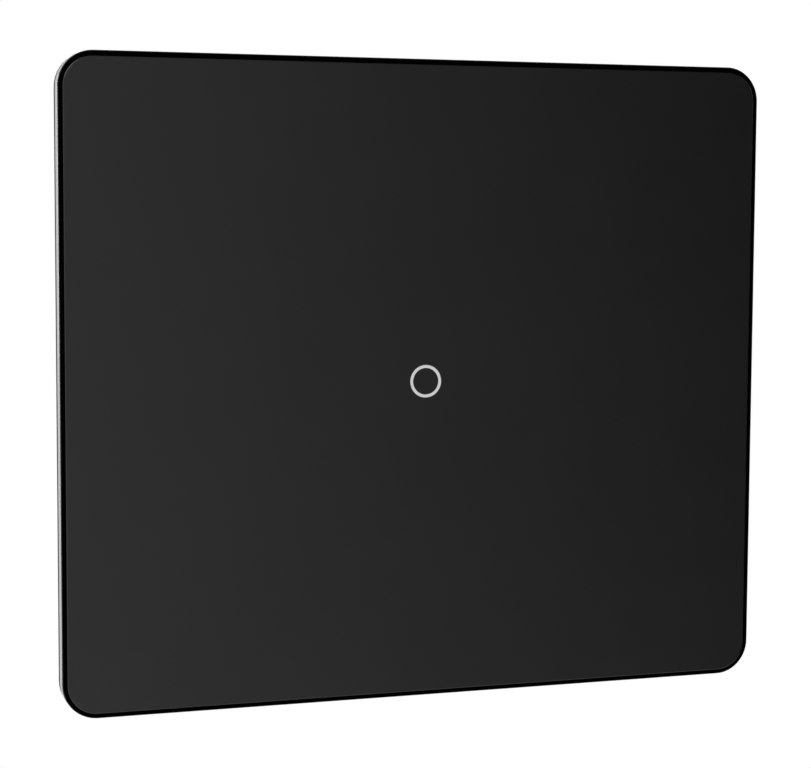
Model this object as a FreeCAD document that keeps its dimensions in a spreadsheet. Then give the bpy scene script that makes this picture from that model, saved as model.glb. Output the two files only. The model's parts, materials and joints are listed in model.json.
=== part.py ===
import FreeCAD, Part
import math
import os
import Sketcher
from types import SimpleNamespace

# Wall-mounted touch light switch with a glass front panel.
# X runs to the right as seen from the front, Z up, and +Y into the wall.
# The origin lies on the wall surface, y = 0, at the centre of the panel.
# All sizes are in millimetres.

# name, size, what it is
SIZES = [
    # support frame and the wall box it is screwed to
    ("screw_spacing", 60.0, "between the wall box screws"),
    ("frame_edge", 5.5, "from a screw's centre to the frame's outer edge"),
    ("frame_thickness", 1.0, "sheet steel"),
    ("frame_corner", 4.0, "outer corner radius"),
    ("slot_length", 8.0, "end to end"),
    ("slot_width", 4.2, ""),
    ("tab_width", 24.0, "bent tab beside the housing"),
    ("tab_depth", 8.0, "how far the tab reaches back from the wall surface"),
    ("catch_width", 6.0, "snap catch between tab and housing"),
    ("catch_height", 2.2, ""),
    ("catch_rise", 0.8, "how far the catch stands out"),
    ("catch_depth", 5.2, "behind the wall surface"),
    # front panel
    ("side_overhang", 14.5, "panel beyond the frame, left and right"),
    ("end_overhang", 8.2, "panel beyond the frame, top and bottom"),
    ("panel_corner", 4.7, "corner radius"),
    ("panel_standoff", 9.0, "front of the glass to the wall"),
    ("glass_thickness", 0.7, ""),
    ("bevel_width", 0.8, "ground edge, seen from the front"),
    ("bevel_depth", 0.5, "ground edge, seen from the side"),
    ("ring_radius", 2.24, "outside of the ring mark"),
    ("ring_width", 0.43, ""),
    ("ring_depth", 0.15, ""),
    ("film_thickness", 0.1, "black film behind the glass"),
    ("film_inset", 0.5, ""),
    ("rim_depth", 1.65, "aluminium rim"),
    ("rim_width", 2.4, ""),
    ("band_depth", 1.15, "carrier's edge behind the rim"),
    ("band_inset", 0.05, ""),
    ("carrier_floor", 2.2, ""),
    ("skirt_inset", 2.0, "how far the skirt tapers in"),
    ("skirt_wall", 1.4, ""),
    ("wall_gap", 0.4, "skirt to wall"),
    ("sensor_opening", 6.5, "radius of the carrier's middle hole"),
    ("collar_wall", 1.2, "round the middle hole"),
    ("rib_width", 1.2, ""),
    ("rib_height", 2.0, ""),
    ("notch_width", 12.0, "lever notch in the lower skirt"),
    ("notch_depth", 1.6, ""),
    ("magnet_radius", 4.0, ""),
    ("magnet_thickness", 2.0, ""),
    ("magnet_inset", 6.0, "magnet centre from the frame's edges"),
    ("boss_wall", 1.2, ""),
    ("pin_radius", 1.45, "guide pin"),
    ("pin_inset", 5.0, "pin centre from the frame's side edge"),
    ("pin_rise", 14.0, "pin centre above or below the middle"),
    ("pin_grip", 3.0, "length held in the carrier"),
    ("pin_setback", 0.1, "pin tip to wall"),
    # module housing and cover
    ("housing_size", 45.0, "square"),
    ("housing_corner", 8.0, ""),
    ("housing_wall", 1.6, ""),
    ("cover_lip", 2.5, "cover beyond the housing"),
    ("cover_height", 3.2, ""),
    ("cover_wall", 1.3, ""),
    ("cover_edge", 0.5, "chamfer"),
    ("spring_opening", 5.6, "radius of the cover's middle hole"),
    ("post_inset", 4.2, "cover screw from the housing's sides"),
    ("post_radius", 2.4, ""),
    ("post_depth", 10.8, "behind the wall surface"),
    ("cover_screw_radius", 1.0, ""),
    ("cover_screw_length", 10.0, "below the head"),
    ("cover_head_radius", 1.9, ""),
    ("cover_head_height", 0.8, ""),
    ("cross_reach", 1.15, "screwdriver recess, from its centre"),
    ("cross_width", 0.5, ""),
    ("cross_depth", 0.5, ""),
    ("vent_length", 16.0, ""),
    ("vent_width", 1.2, ""),
    ("vent_pitch", 3.2, ""),
    ("field_width", 24.0, "bare sunk field on the housing's back"),
    ("field_height", 5.0, ""),
    ("field_depth", 0.3, ""),
    ("field_inset", 3.0, "field from the housing's top side"),
    # circuit boards
    ("board_gap", 0.4, "board edge to housing"),
    ("touch_board_thickness", 1.2, ""),
    ("main_board_thickness", 1.6, ""),
    ("board_spacing", 8.0, "clear between the two boards"),
    ("spacer_radius", 1.6, ""),
    ("spacer_inset", 3.5, "spacer from the board's sides"),
    ("spacer_rise", 8.0, "spacer from the middle, up or down"),
    ("ledge_size", 1.4, "main board's ledges"),
    ("ledge_length", 6.0, ""),
    ("tube_radius", 2.6, "light tube"),
    ("tube_wall", 0.9, ""),
    ("light_size", 1.6, ""),
    ("light_height", 0.7, ""),
    ("spring_radius", 4.2, "middle of the wire"),
    ("spring_wire", 0.6, "diameter"),
    ("spring_turns", 5.0, ""),
    ("chip_size", 5.0, ""),
    ("chip_height", 0.9, ""),
    ("radio_width", 13.0, ""),
    ("radio_height", 15.0, ""),
    ("radio_board", 0.8, ""),
    ("radio_gap", 0.4, "radio board to the spacer beside it"),
    ("radio_rise", 8.0, ""),
    ("shield_height", 2.0, ""),
    ("shield_inset", 0.7, ""),
    ("header_width", 2.5, ""),
    ("pin_spacing", 2.54, "between the header's pins"),
    ("header_height", 2.5, ""),
    ("header_inset", 6.5, "header from the board's lower edge"),
    ("header_pin", 0.6, "width of a pin"),
    ("header_pin_length", 3.0, "in the socket"),
    # pairing button
    ("button_side", 12.0, "from the middle, to the right"),
    ("button_drop", 12.0, "from the middle, down"),
    ("button_radius", 1.95, ""),
    ("button_proud", 0.2, "in front of the cover"),
    ("button_flange", 0.65, "wider than the button"),
    ("button_flange_height", 0.3, ""),
    ("button_travel", 0.3, ""),
    ("switch_size", 4.0, ""),
    ("switch_height", 0.9, ""),
    ("plunger_radius", 0.9, ""),
    # terminal row
    ("terminal_pitch", 9.0, ""),
    ("step_gap", 0.6, "main board to the step in the housing"),
    ("block_inset", 1.0, "block from the housing's lower side"),
    ("block_height", 10.5, ""),
    ("block_wall", 1.4, "where the wire goes in"),
    ("block_top_wall", 0.9, ""),
    ("block_end", 1.0, "block beyond the last cell"),
    ("clamp_width", 6.0, ""),
    ("clamp_length", 5.6, "along the wire"),
    ("clamp_side", 0.9, ""),
    ("clamp_jaw", 1.0, ""),
    ("clamp_nut", 1.4, ""),
    ("clamp_travel", 2.0, ""),
    ("wire_space", 2.8, ""),
    ("wire_hole", 1.35, "radius"),
    ("bar_thickness", 0.9, ""),
    ("bar_leg", 0.8, ""),
    ("bar_gap", 0.2, "bar to block, and how far the bar reaches past the clamp"),
    ("terminal_screw_radius", 1.45, ""),
    ("terminal_head_radius", 2.3, ""),
    ("terminal_head_height", 1.9, ""),
    ("terminal_head_recess", 0.3, ""),
    ("driver_slot", 0.8, "width"),
    ("driver_depth", 0.8, ""),
    # relay
    ("relay_length", 17.0, "across"),
    ("relay_width", 15.0, "up"),
    ("relay_height", 11.6, "off the board"),
    ("relay_gap", 1.5, "relay to the housing's left wall"),
    ("relay_rise", 6.05, "its middle, above the middle"),
    ("relay_wall", 0.6, ""),
    ("relay_base", 1.2, ""),
    ("coil_radius", 3.3, ""),
    ("coil_flange", 0.4, ""),
    ("coil_length", 9.6, ""),
    ("coil_rise", 6.0, "coil axis off the board"),
    ("core_radius", 1.1, ""),
    ("pole_radius", 2.2, ""),
    ("pole_thickness", 0.8, ""),
    ("yoke_thickness", 1.0, ""),
    ("yoke_width", 7.0, ""),
    ("armature_thickness", 0.8, ""),
    ("armature_width", 6.4, ""),
    ("armature_gap", 0.5, "to the pole, when open"),
    ("blade_thickness", 0.3, ""),
    ("blade_width", 4.0, ""),
    ("contact_radius", 0.7, ""),
    ("contact_height", 0.5, ""),
    ("contact_gap", 0.55, "when open"),
    # power supply parts on the main board
    ("transformer_width", 13.0, ""),
    ("transformer_height", 10.6, "off the board"),
    ("transformer_core", 5.0, ""),
    ("transformer_coil", 11.0, ""),
    ("transformer_limb", 2.1, "side bars of the core"),
    ("transformer_yoke", 1.05, "end bars of the core"),
    ("transformer_edge", 1.05, "rounding of the winding"),
    ("transformer_inset", 11.9, "its middle from the housing's right wall"),
    ("transformer_rise", 8.0, ""),
    ("bulk_radius", 4.0, "big capacitor"),
    ("bulk_height", 11.0, ""),
    ("bulk_rise", 4.6, "its middle above the wall over the terminal row"),
    ("small_radius", 2.2, "small capacitors"),
    ("small_height", 7.6, ""),
    ("can_edge", 0.4, "rounded end of the capacitors and the fuse"),
    ("fuse_radius", 2.0, ""),
    ("fuse_height", 7.0, ""),
    ("disc_radius", 4.4, "surge disc"),
    ("disc_thickness", 3.2, ""),
    ("rectifier_width", 4.7, ""),
    ("rectifier_height", 1.5, ""),
    ("choke_radius", 3.2, ""),
    ("choke_height", 6.0, ""),
    # clearances
    ("fit_gap", 0.05, "between parts that are put together"),
    ("running_gap", 0.05, "round a shaft or pin that moves"),
    ("safe_gap", 0.3, "between moving parts that mustn't touch"),
]

# places of the touch chips: which side, in from the cover's screw post, down from it
TOUCH_CHIP_PLACES = [(-1, 7.3, 8.3), (1, 7.8, 7.8)]
# places of parts on the boards: across, up
TOUCH_PART_PLACES = [
    (-13.0, -2.0),
    (-13.0, -5.0),
    (-9.5, -11.0),
    (-6.0, -11.0),
    (12.5, 2.0),
    (12.5, -1.5),
    (2.0, 14.0),
]
CHOKE_PLACE = (10.0, 9.0)
CHIP_PART_SIZE = (1.6, 0.9, 0.5)
# places behind the main board: across from the middle, up from the wall above the terminal row
FUSE_PLACE = (1.0, 4.0)
DISC_PLACE = (-7.6, 4.0)
# places behind the main board: in from the nearest side wall, up from the wall above the terminal row
SMALL_PLACES = [(4.5, 4.2), (2.8, 17.8)]
RECTIFIER_PLACE = (5.6, 3.3)
HEADER_PINS = 6
TERMINALS = 4
VENTS = 4

# how closely two levels agree when an edge or a face is looked up
SAME_LEVEL = 1e-4

# view: origin plane, sign of the plane's normal along its own axis
VIEWS = {"front": ("XZ_Plane", -1), "top": ("XY_Plane", 1), "side": ("YZ_Plane", 1)}


class Formula:
    """A size that stays bound to the sheet: the number it has now, and the expression it comes from."""

    def __init__(self, number, text):
        self.number = float(number)
        self.text = text

    def __add__(self, other):
        other = formula(other)
        return Formula(self.number + other.number, "(%s + %s)" % (self.text, other.text))

    def __sub__(self, other):
        other = formula(other)
        return Formula(self.number - other.number, "(%s - %s)" % (self.text, other.text))

    def __mul__(self, other):
        other = formula(other)
        return Formula(self.number * other.number, "(%s * %s)" % (self.text, other.text))

    def __truediv__(self, other):
        other = formula(other)
        return Formula(self.number / other.number, "(%s / %s)" % (self.text, other.text))

    def __neg__(self):
        return Formula(-self.number, "(0 - %s)" % self.text)

    def __radd__(self, other):
        return formula(other) + self

    def __rsub__(self, other):
        return formula(other) - self

    __rmul__ = __mul__


def formula(value):
    """A plain number as a formula; a formula stays as it is."""
    if isinstance(value, Formula):
        return value
    return Formula(value, "(%s)" % repr(float(value)))


doc = FreeCAD.newDocument("touch_switch")
sheet = doc.addObject("Spreadsheet::Sheet", "Sizes")


def fill_sheet():
    """Put every size in the sheet and give back the same sizes as formulas."""
    known = {}
    for row, (name, number, _) in enumerate(SIZES, start=1):
        sheet.set("A%d" % row, name)
        sheet.set("B%d" % row, str(number))
        sheet.setAlias("B%d" % row, name)
        known[name] = Formula(number, "Sizes." + name)
    doc.recompute()
    return SimpleNamespace(**known)


size = fill_sheet()


def levels():
    """Heights along Y where parts meet, front to back, and the outlines that several parts share."""
    at = SimpleNamespace()
    # front panel, from the glass back to the skirt
    at.glass_front = -size.panel_standoff
    at.glass_back = at.glass_front + size.glass_thickness
    at.film_back = at.glass_back + size.film_thickness
    at.rim_back = at.film_back + size.rim_depth
    at.band_back = at.rim_back + size.band_depth
    at.floor_back = at.film_back + size.carrier_floor
    at.skirt_back = -size.wall_gap
    # frame, cover and boards
    at.frame_front = -size.frame_thickness
    at.wall = formula(0)
    at.boss_back = at.frame_front - size.safe_gap
    at.cover_front = at.frame_front - size.cover_height
    at.cover_inside = at.cover_front + size.cover_wall
    at.touch_front = at.frame_front
    at.touch_back = at.touch_front + size.touch_board_thickness
    at.main_front = at.touch_back + size.board_spacing
    at.main_back = at.main_front + size.main_board_thickness
    at.sensor_front = at.film_back + size.safe_gap
    # terminal row, from the step in the housing to the screw heads
    at.step_inside = at.main_back + size.step_gap
    at.step_back = at.step_inside + size.housing_wall
    at.clamp_front = at.step_back + size.safe_gap
    at.jaw_back = at.clamp_front + size.clamp_jaw
    at.bar_front = at.jaw_back + size.wire_space
    at.bar_back = at.bar_front + size.bar_thickness
    at.nut_front = at.bar_back + size.safe_gap
    at.nut_back = at.nut_front + size.clamp_nut
    at.cell_back = at.nut_back + size.clamp_travel + size.safe_gap
    at.head_back = at.cell_back + size.terminal_head_height
    at.housing_back = at.head_back + size.terminal_head_recess
    # outlines across the wall
    at.frame_size = size.screw_spacing + 2 * size.frame_edge
    at.panel_width = at.frame_size + 2 * size.side_overhang
    at.panel_height = at.frame_size + 2 * size.end_overhang
    at.housing_half = size.housing_size / 2
    at.inner_size = size.housing_size - 2 * size.housing_wall
    at.inner_half = at.inner_size / 2
    at.inner_corner = size.housing_corner - size.housing_wall
    at.cover_size = size.housing_size + 2 * size.cover_lip
    at.post = at.housing_half - size.post_inset
    at.magnet = at.frame_size / 2 - size.magnet_inset
    at.pin = at.frame_size / 2 - size.pin_inset
    at.board_half = at.inner_half - size.board_gap
    at.board_cut = (at.board_half - at.post) * 2 + (size.post_radius + size.board_gap) * math.sqrt(2)
    at.spacer = at.board_half - size.spacer_inset
    at.header = size.header_inset - at.board_half
    at.block_bottom = -(at.housing_half - size.block_inset)
    at.block_top = at.block_bottom + size.block_height
    at.room_bottom = at.block_top + size.housing_wall
    at.cell_bottom = at.block_bottom + size.block_wall
    at.cell_top = at.block_top - size.block_top_wall
    at.clamp_top = at.cell_top - size.bar_gap - size.bar_leg - size.safe_gap
    at.clamp_bottom = at.clamp_top - size.clamp_length
    at.screw_axis = (at.clamp_top + at.clamp_bottom) / 2
    return at


at = levels()
NODES = []


def bind(thing, path, value):
    """Bind one property of a document object to a formula."""
    thing.setExpression(path, formula(value).text)


def new_body(name):
    """An empty body whose label names its node."""
    body = doc.addObject("PartDesign::Body", name)
    body.Label = name
    body.AllowCompound = True
    NODES.append(body)
    return body


def new_sketch(body, view, level):
    """A sketch parallel to one of the body's own origin planes, at a height along that plane's axis."""
    role, sign = VIEWS[view]
    sketch = body.newObject("Sketcher::SketchObject", body.Name + "_" + view)
    plane = next(part for part in body.Origin.OriginFeatures if part.Role == role)
    sketch.AttachmentSupport = [(plane, "")]
    sketch.MapMode = "FlatFace"
    bind(sketch, ".AttachmentOffset.Base.z", formula(level) * sign)
    return sketch


def pin_point(sketch, edge, end, across, up):
    """Hold one end of an edge at a place given by two formulas."""
    for kind, value in (("DistanceX", across), ("DistanceY", up)):
        hold(sketch, value, kind, edge, end)


def hold(sketch, value, kind, *where):
    """Add one driving dimension and bind it to a formula."""
    value = formula(value)
    index = sketch.addConstraint(Sketcher.Constraint(kind, *where, value.number))
    bind(sketch, "Constraints[%d]" % index, value)


def disc(across, up, radius):
    """A circle."""

    def draw(sketch):
        centre = FreeCAD.Vector(formula(across).number, formula(up).number, 0)
        circle = Part.Circle(centre, FreeCAD.Vector(0, 0, 1), formula(radius).number)
        edge = sketch.addGeometry(circle)
        hold(sketch, radius, "Radius", edge)
        pin_point(sketch, edge, 3, across, up)

    return draw


def polygon(*points):
    """A closed outline of straight edges."""

    def draw(sketch):
        corners = [FreeCAD.Vector(formula(x).number, formula(y).number, 0) for x, y in points]
        count = len(corners)
        edges = [
            sketch.addGeometry(Part.LineSegment(corners[i], corners[(i + 1) % count])) for i in range(count)
        ]
        for i, edge in enumerate(edges):
            sketch.addConstraint(Sketcher.Constraint("Coincident", edge, 2, edges[(i + 1) % count], 1))
            pin_point(sketch, edge, 1, *points[i])

    return draw


def box(left, right, bottom, top):
    """A rectangle between two levels each way."""
    return polygon((left, bottom), (right, bottom), (right, top), (left, top))


def block(across, up, width, height):
    """A rectangle about its centre."""
    return box(across - width / 2, across + width / 2, up - height / 2, up + height / 2)


def octagon(half, cut):
    """A square about the middle with its four corners cut off."""
    short = half - cut
    ring = [(short, -half), (half, -short), (half, short), (short, half)]
    return polygon(*ring, *[(-x, -y) for x, y in ring])


def slot(across, up, length, width, upright=False):
    """A slot with round ends, level unless upright."""
    across, up = formula(across), formula(up)
    reach = (length - width) / 2

    def draw(sketch):
        along = FreeCAD.Vector(0, 1, 0) if upright else FreeCAD.Vector(1, 0, 0)
        out = FreeCAD.Vector(1, 0, 0) if upright else FreeCAD.Vector(0, -1, 0)
        turn = math.pi / 2 if upright else 0
        middle = FreeCAD.Vector(across.number, up.number, 0)
        radius = width.number / 2
        edges = []
        for sign in (1, -1):
            far = middle + along * (reach.number * sign)
            near = middle - along * (reach.number * sign)
            side = out * (radius * sign)
            edges.append(sketch.addGeometry(Part.LineSegment(near + side, far + side)))
            circle = Part.Circle(far, FreeCAD.Vector(0, 0, 1), radius)
            begin = turn - math.pi / 2 if sign > 0 else turn + math.pi / 2
            edges.append(sketch.addGeometry(Part.ArcOfCircle(circle, begin, begin + math.pi)))
        for i, edge in enumerate(edges):
            sketch.addConstraint(Sketcher.Constraint("Tangent", edge, 2, edges[(i + 1) % 4], 1))
        sketch.addConstraint(Sketcher.Constraint("Vertical" if upright else "Horizontal", edges[0]))
        hold(sketch, width / 2, "Radius", edges[1])
        for arc, sign in ((1, 1), (3, -1)):
            shift = reach * sign
            place = (across, up + shift) if upright else (across + shift, up)
            hold(sketch, place[0], "DistanceX", edges[arc], 3)
            if arc == 1 or upright:
                hold(sketch, place[1], "DistanceY", edges[arc], 3)

    return draw


def rounded(across, up, width, height, corner):
    """A rectangle about its centre with round corners."""
    across, up, width, height, corner = (formula(value) for value in (across, up, width, height, corner))

    def draw(sketch):
        right = width.number / 2
        top = height.number / 2
        round_by = corner.number
        middle = FreeCAD.Vector(across.number, up.number, 0)
        edges = []
        for quarter in range(4):
            turn = quarter * math.pi / 2
            half_long, half_wide = (right, top) if quarter % 2 == 0 else (top, right)
            along = FreeCAD.Vector(math.cos(turn), math.sin(turn), 0)
            out = FreeCAD.Vector(math.sin(turn), -math.cos(turn), 0)
            start = middle + out * half_wide - along * (half_long - round_by)
            end = middle + out * half_wide + along * (half_long - round_by)
            edges.append(sketch.addGeometry(Part.LineSegment(start, end)))
            circle = Part.Circle(end - out * round_by, FreeCAD.Vector(0, 0, 1), round_by)
            edges.append(sketch.addGeometry(Part.ArcOfCircle(circle, turn - math.pi / 2, turn)))
        for i, edge in enumerate(edges):
            sketch.addConstraint(Sketcher.Constraint("Tangent", edge, 2, edges[(i + 1) % 8], 1))
        for line, kind in ((0, "Horizontal"), (2, "Vertical"), (4, "Horizontal"), (6, "Vertical")):
            sketch.addConstraint(Sketcher.Constraint(kind, edges[line]))
        for arc in (3, 5, 7):
            sketch.addConstraint(Sketcher.Constraint("Equal", edges[1], edges[arc]))
        hold(sketch, corner, "Radius", edges[1])
        hold(sketch, up - height / 2, "DistanceY", edges[0], 1)
        hold(sketch, across + width / 2, "DistanceX", edges[2], 1)
        hold(sketch, up + height / 2, "DistanceY", edges[4], 1)
        hold(sketch, across - width / 2, "DistanceX", edges[6], 1)

    return draw


def pad(body, view, low, high, *outlines):
    """Add the outlines to the body as prisms between two levels."""
    start = high if VIEWS[view][1] < 0 else low
    sketch = new_sketch(body, view, start)
    for draw in outlines:
        draw(sketch)
    feature = body.newObject("PartDesign::Pad", body.Name + "_pad")
    feature.Profile = (sketch, [""])
    bind(feature, "Length", formula(high) - low)
    body.Tip = feature
    doc.recompute()
    return feature


def cut(body, view, low, high, *outlines):
    """Take the outlines out of the body between two levels, and make sure that something came away."""
    before = body.Shape.Volume
    start = low if VIEWS[view][1] < 0 else high
    sketch = new_sketch(body, view, start)
    for draw in outlines:
        draw(sketch)
    feature = body.newObject("PartDesign::Pocket", body.Name + "_pocket")
    feature.Profile = (sketch, [""])
    bind(feature, "Length", formula(high) - low)
    body.Tip = feature
    doc.recompute()
    if not body.Shape.Volume < before:
        raise RuntimeError("a pocket in %s cuts nothing" % body.Label)
    return feature


def loft(body, kind, first_level, first, last_level, last):
    """A ruled loft between two outlines that lie across the wall: AdditiveLoft or SubtractiveLoft."""
    first_sketch = new_sketch(body, "front", first_level)
    first(first_sketch)
    last_sketch = new_sketch(body, "front", last_level)
    last(last_sketch)
    feature = body.newObject("PartDesign::" + kind, body.Name + "_loft")
    feature.Profile = first_sketch
    feature.Sections = [last_sketch]
    feature.Ruled = True
    body.Tip = feature
    doc.recompute()
    return feature


def edges_in_plane(body, axis, level):
    """Names of the edges that lie wholly at one level along an axis."""
    edges = enumerate(body.Shape.Edges, start=1)
    return ["Edge%d" % number for number, edge in edges if lies_at(edge, axis, level)]


def outer_edges(body, axis, level):
    """Of the edges in a plane, those of the outline that reaches furthest out."""
    shape = body.Shape
    faces = [face for face in shape.Faces if lies_at(face, axis, level)]
    widest = max(faces, key=lambda face: face.BoundBox.DiagonalLength)
    outline = widest.OuterWire.Edges
    names = edges_in_plane(body, axis, level)
    return [name for name in names if any(shape.getElement(name).isSame(edge) for edge in outline)]


def lies_at(piece, axis, level):
    """Whether an edge or a face lies wholly at one level along an axis: 0 for X, 1 for Y, 2 for Z."""
    bounds = piece.BoundBox
    low = (bounds.XMin, bounds.YMin, bounds.ZMin)[axis]
    high = (bounds.XMax, bounds.YMax, bounds.ZMax)[axis]
    return abs(low - level) < SAME_LEVEL and abs(high - level) < SAME_LEVEL


def soften(body, kind, amount, names):
    """Fillet or chamfer the named edges."""
    base = body.Tip
    feature = body.newObject("PartDesign::" + kind, body.Name + "_" + kind.lower())
    feature.Base = (base, names)
    bind(feature, "Radius" if kind == "Fillet" else "Size", amount)
    body.Tip = feature
    doc.recompute()


def corners(half_width, half_height=None):
    """The four places at plus or minus a half width and a half height."""
    half_height = half_width if half_height is None else half_height
    return [(side * half_width, end * half_height) for side in (-1, 1) for end in (-1, 1)]


def panel_outline(inset):
    """The front panel's outline, drawn in by an inset on every side."""
    inset = formula(inset)
    width = at.panel_width - 2 * inset
    height = at.panel_height - 2 * inset
    return rounded(0, 0, width, height, size.panel_corner - inset)


def glass_panel():
    body = new_body("glass_panel")
    bevel_back = at.glass_front + size.bevel_depth
    pad(body, "front", bevel_back, at.glass_back, panel_outline(0))
    loft(body, "AdditiveLoft", bevel_back, panel_outline(0), at.glass_front, panel_outline(size.bevel_width))
    ring_back = at.glass_front + size.ring_depth
    ring = (disc(0, 0, size.ring_radius), disc(0, 0, size.ring_radius - size.ring_width))
    cut(body, "front", at.glass_front, ring_back, *ring)


def ring_inlay():
    body = new_body("ring_inlay")
    ring = (disc(0, 0, size.ring_radius), disc(0, 0, size.ring_radius - size.ring_width))
    pad(body, "front", at.glass_front, at.glass_front + size.ring_depth, *ring)


def backing_film():
    body = new_body("backing_film")
    window = disc(0, 0, size.ring_radius + size.fit_gap)
    pad(body, "front", at.glass_back, at.film_back, panel_outline(size.film_inset), window)


def panel_rim():
    body = new_body("panel_rim")
    pad(body, "front", at.film_back, at.rim_back, panel_outline(0), panel_outline(size.rim_width))


def panel_carrier():
    body = new_body("panel_carrier")
    inside_rim = panel_outline(size.rim_width + size.fit_gap)
    band = size.band_inset
    skirt = band + size.skirt_inset
    pad(body, "front", at.film_back, at.rim_back, inside_rim)
    pad(body, "front", at.rim_back, at.band_back, panel_outline(band))
    loft(body, "AdditiveLoft", at.band_back, panel_outline(band), at.skirt_back, panel_outline(skirt))
    hollow_front = panel_outline(band + size.skirt_wall * 2)
    hollow_back = panel_outline(skirt + size.skirt_wall)
    loft(body, "SubtractiveLoft", at.floor_back, hollow_front, at.skirt_back, hollow_back)
    magnet_bosses = [disc(x, z, size.magnet_radius + size.boss_wall) for x, z in corners(at.magnet)]
    pad(body, "front", at.floor_back, at.boss_back, *magnet_bosses)
    pin_back = at.boss_back - size.safe_gap
    pin_bosses = [disc(x, z, size.pin_radius + size.boss_wall) for x, z in pin_places()]
    pad(body, "front", at.floor_back, pin_back, *pin_bosses)
    collar_back = at.cover_front - size.safe_gap
    collar = disc(0, 0, size.sensor_opening + size.collar_wall)
    pad(body, "front", at.floor_back, collar_back, collar)
    carrier_ribs(body)
    cut(body, "front", at.film_back, collar_back, disc(0, 0, size.sensor_opening))
    pockets = [disc(x, z, size.magnet_radius + size.fit_gap) for x, z in corners(at.magnet)]
    cut(body, "front", at.boss_back - size.magnet_thickness, at.boss_back, *pockets)
    holes = [disc(x, z, size.pin_radius) for x, z in pin_places()]
    cut(body, "front", pin_back - size.pin_grip, pin_back, *holes)
    lower_edge = -at.panel_height / 2
    notch_top = lower_edge + skirt + size.skirt_wall * 2
    notch = box(-size.notch_width / 2, size.notch_width / 2, lower_edge, notch_top)
    cut(body, "front", at.skirt_back - size.notch_depth, at.skirt_back, notch)


def carrier_ribs(body):
    """Straight ribs that join the four magnet bosses."""
    reach = at.magnet - size.magnet_radius
    ribs_back = at.floor_back + size.rib_height
    for side in (-1, 1):
        upright = block(side * at.magnet, formula(0), size.rib_width, 2 * reach)
        pad(body, "front", at.floor_back, ribs_back, upright)
        level = block(formula(0), side * at.magnet, 2 * reach, size.rib_width)
        pad(body, "front", at.floor_back, ribs_back, level)


def pin_places():
    """Guide pins: upper left and lower right."""
    return [(-at.pin, size.pin_rise), (at.pin, -size.pin_rise)]


def panel_magnets():
    body = new_body("panel_magnets")
    discs = [disc(x, z, size.magnet_radius) for x, z in corners(at.magnet)]
    pad(body, "front", at.boss_back - size.magnet_thickness, at.boss_back, *discs)


def guide_pins():
    body = new_body("guide_pins")
    held_from = at.boss_back - size.safe_gap - size.pin_grip
    pins = [disc(x, z, size.pin_radius) for x, z in pin_places()]
    pad(body, "front", held_from, -size.pin_setback, *pins)


def support_frame():
    body = new_body("support_frame")
    opening_half = at.housing_half + size.fit_gap
    outside = rounded(0, 0, at.frame_size, at.frame_size, size.frame_corner)
    tab_outside = opening_half + size.frame_thickness
    opening = rounded(0, 0, 2 * tab_outside, 2 * (opening_half + size.safe_gap), size.frame_corner)
    pad(body, "front", at.frame_front, at.wall, outside, opening)
    for side in (-1, 1):
        near, far = sorted((side * opening_half, side * tab_outside), key=lambda value: value.number)
        tab = box(near, far, -size.tab_width / 2, size.tab_width / 2)
        pad(body, "front", at.frame_front, size.tab_depth, tab)
    room = 2 * size.fit_gap
    window = block(size.catch_depth, formula(0), size.catch_height + room, size.catch_width + room)
    cut(body, "side", -tab_outside, tab_outside, window)
    slots = []
    for side in (-1, 1):
        place = side * size.screw_spacing / 2
        slots.append(slot(place, 0, size.slot_length, size.slot_width))
        slots.append(slot(0, place, size.slot_length, size.slot_width, upright=True))
    cut(body, "front", at.frame_front, at.wall, *slots)
    holes = [disc(x, z, size.pin_radius + size.running_gap) for x, z in pin_places()]
    cut(body, "front", at.frame_front, at.wall, *holes)


def rear_housing():
    body = new_body("rear_housing")
    outline = rounded(0, 0, size.housing_size, size.housing_size, size.housing_corner)
    pad(body, "front", at.frame_front, at.housing_back, outline)
    step = box(-size.housing_size, size.housing_size, -size.housing_size, at.block_top)
    cut(body, "front", at.step_back, at.housing_back, step)
    inside = rounded(0, 0, at.inner_size, at.inner_size, at.inner_corner)
    cut(body, "front", at.frame_front, at.step_inside, inside)
    room_height = at.inner_half - at.room_bottom
    room = rounded(0, at.inner_half - room_height / 2, at.inner_size, room_height, at.inner_corner)
    cut(body, "front", at.step_inside, at.housing_back - size.housing_wall, room)
    posts = [disc(x, z, size.post_radius) for x, z in corners(at.post)]
    pad(body, "front", at.frame_front, size.post_depth, *posts)
    housing_ledges(body)
    screw_holes = [disc(x, z, size.cover_screw_radius) for x, z in corners(at.post)]
    hole_back = at.cover_front + size.cover_head_height + size.cover_screw_length + size.safe_gap
    cut(body, "front", at.frame_front, hole_back, *screw_holes)
    catch = block(size.catch_depth, formula(0), size.catch_height, size.catch_width)
    pad(body, "side", at.inner_half + size.fit_gap, at.housing_half + size.catch_rise, catch)
    pad(body, "side", -(at.housing_half + size.catch_rise), -(at.inner_half + size.fit_gap), catch)
    legs = [bar_leg_hole(place) for place in terminal_places()]
    cut(body, "front", at.step_inside, at.step_back, *legs)
    vents = []
    for row in range(VENTS):
        rise = size.relay_rise + (row - (VENTS - 1) / 2) * size.vent_pitch
        vents.append(slot(0, rise, size.vent_length, size.vent_width))
    cut(body, "front", at.housing_back - size.housing_wall, at.housing_back, *vents)
    field_rise = at.housing_half - size.field_inset - size.field_height / 2
    field = block(formula(0), field_rise, size.field_width, size.field_height)
    cut(body, "front", at.housing_back - size.field_depth, at.housing_back, field)


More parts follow.
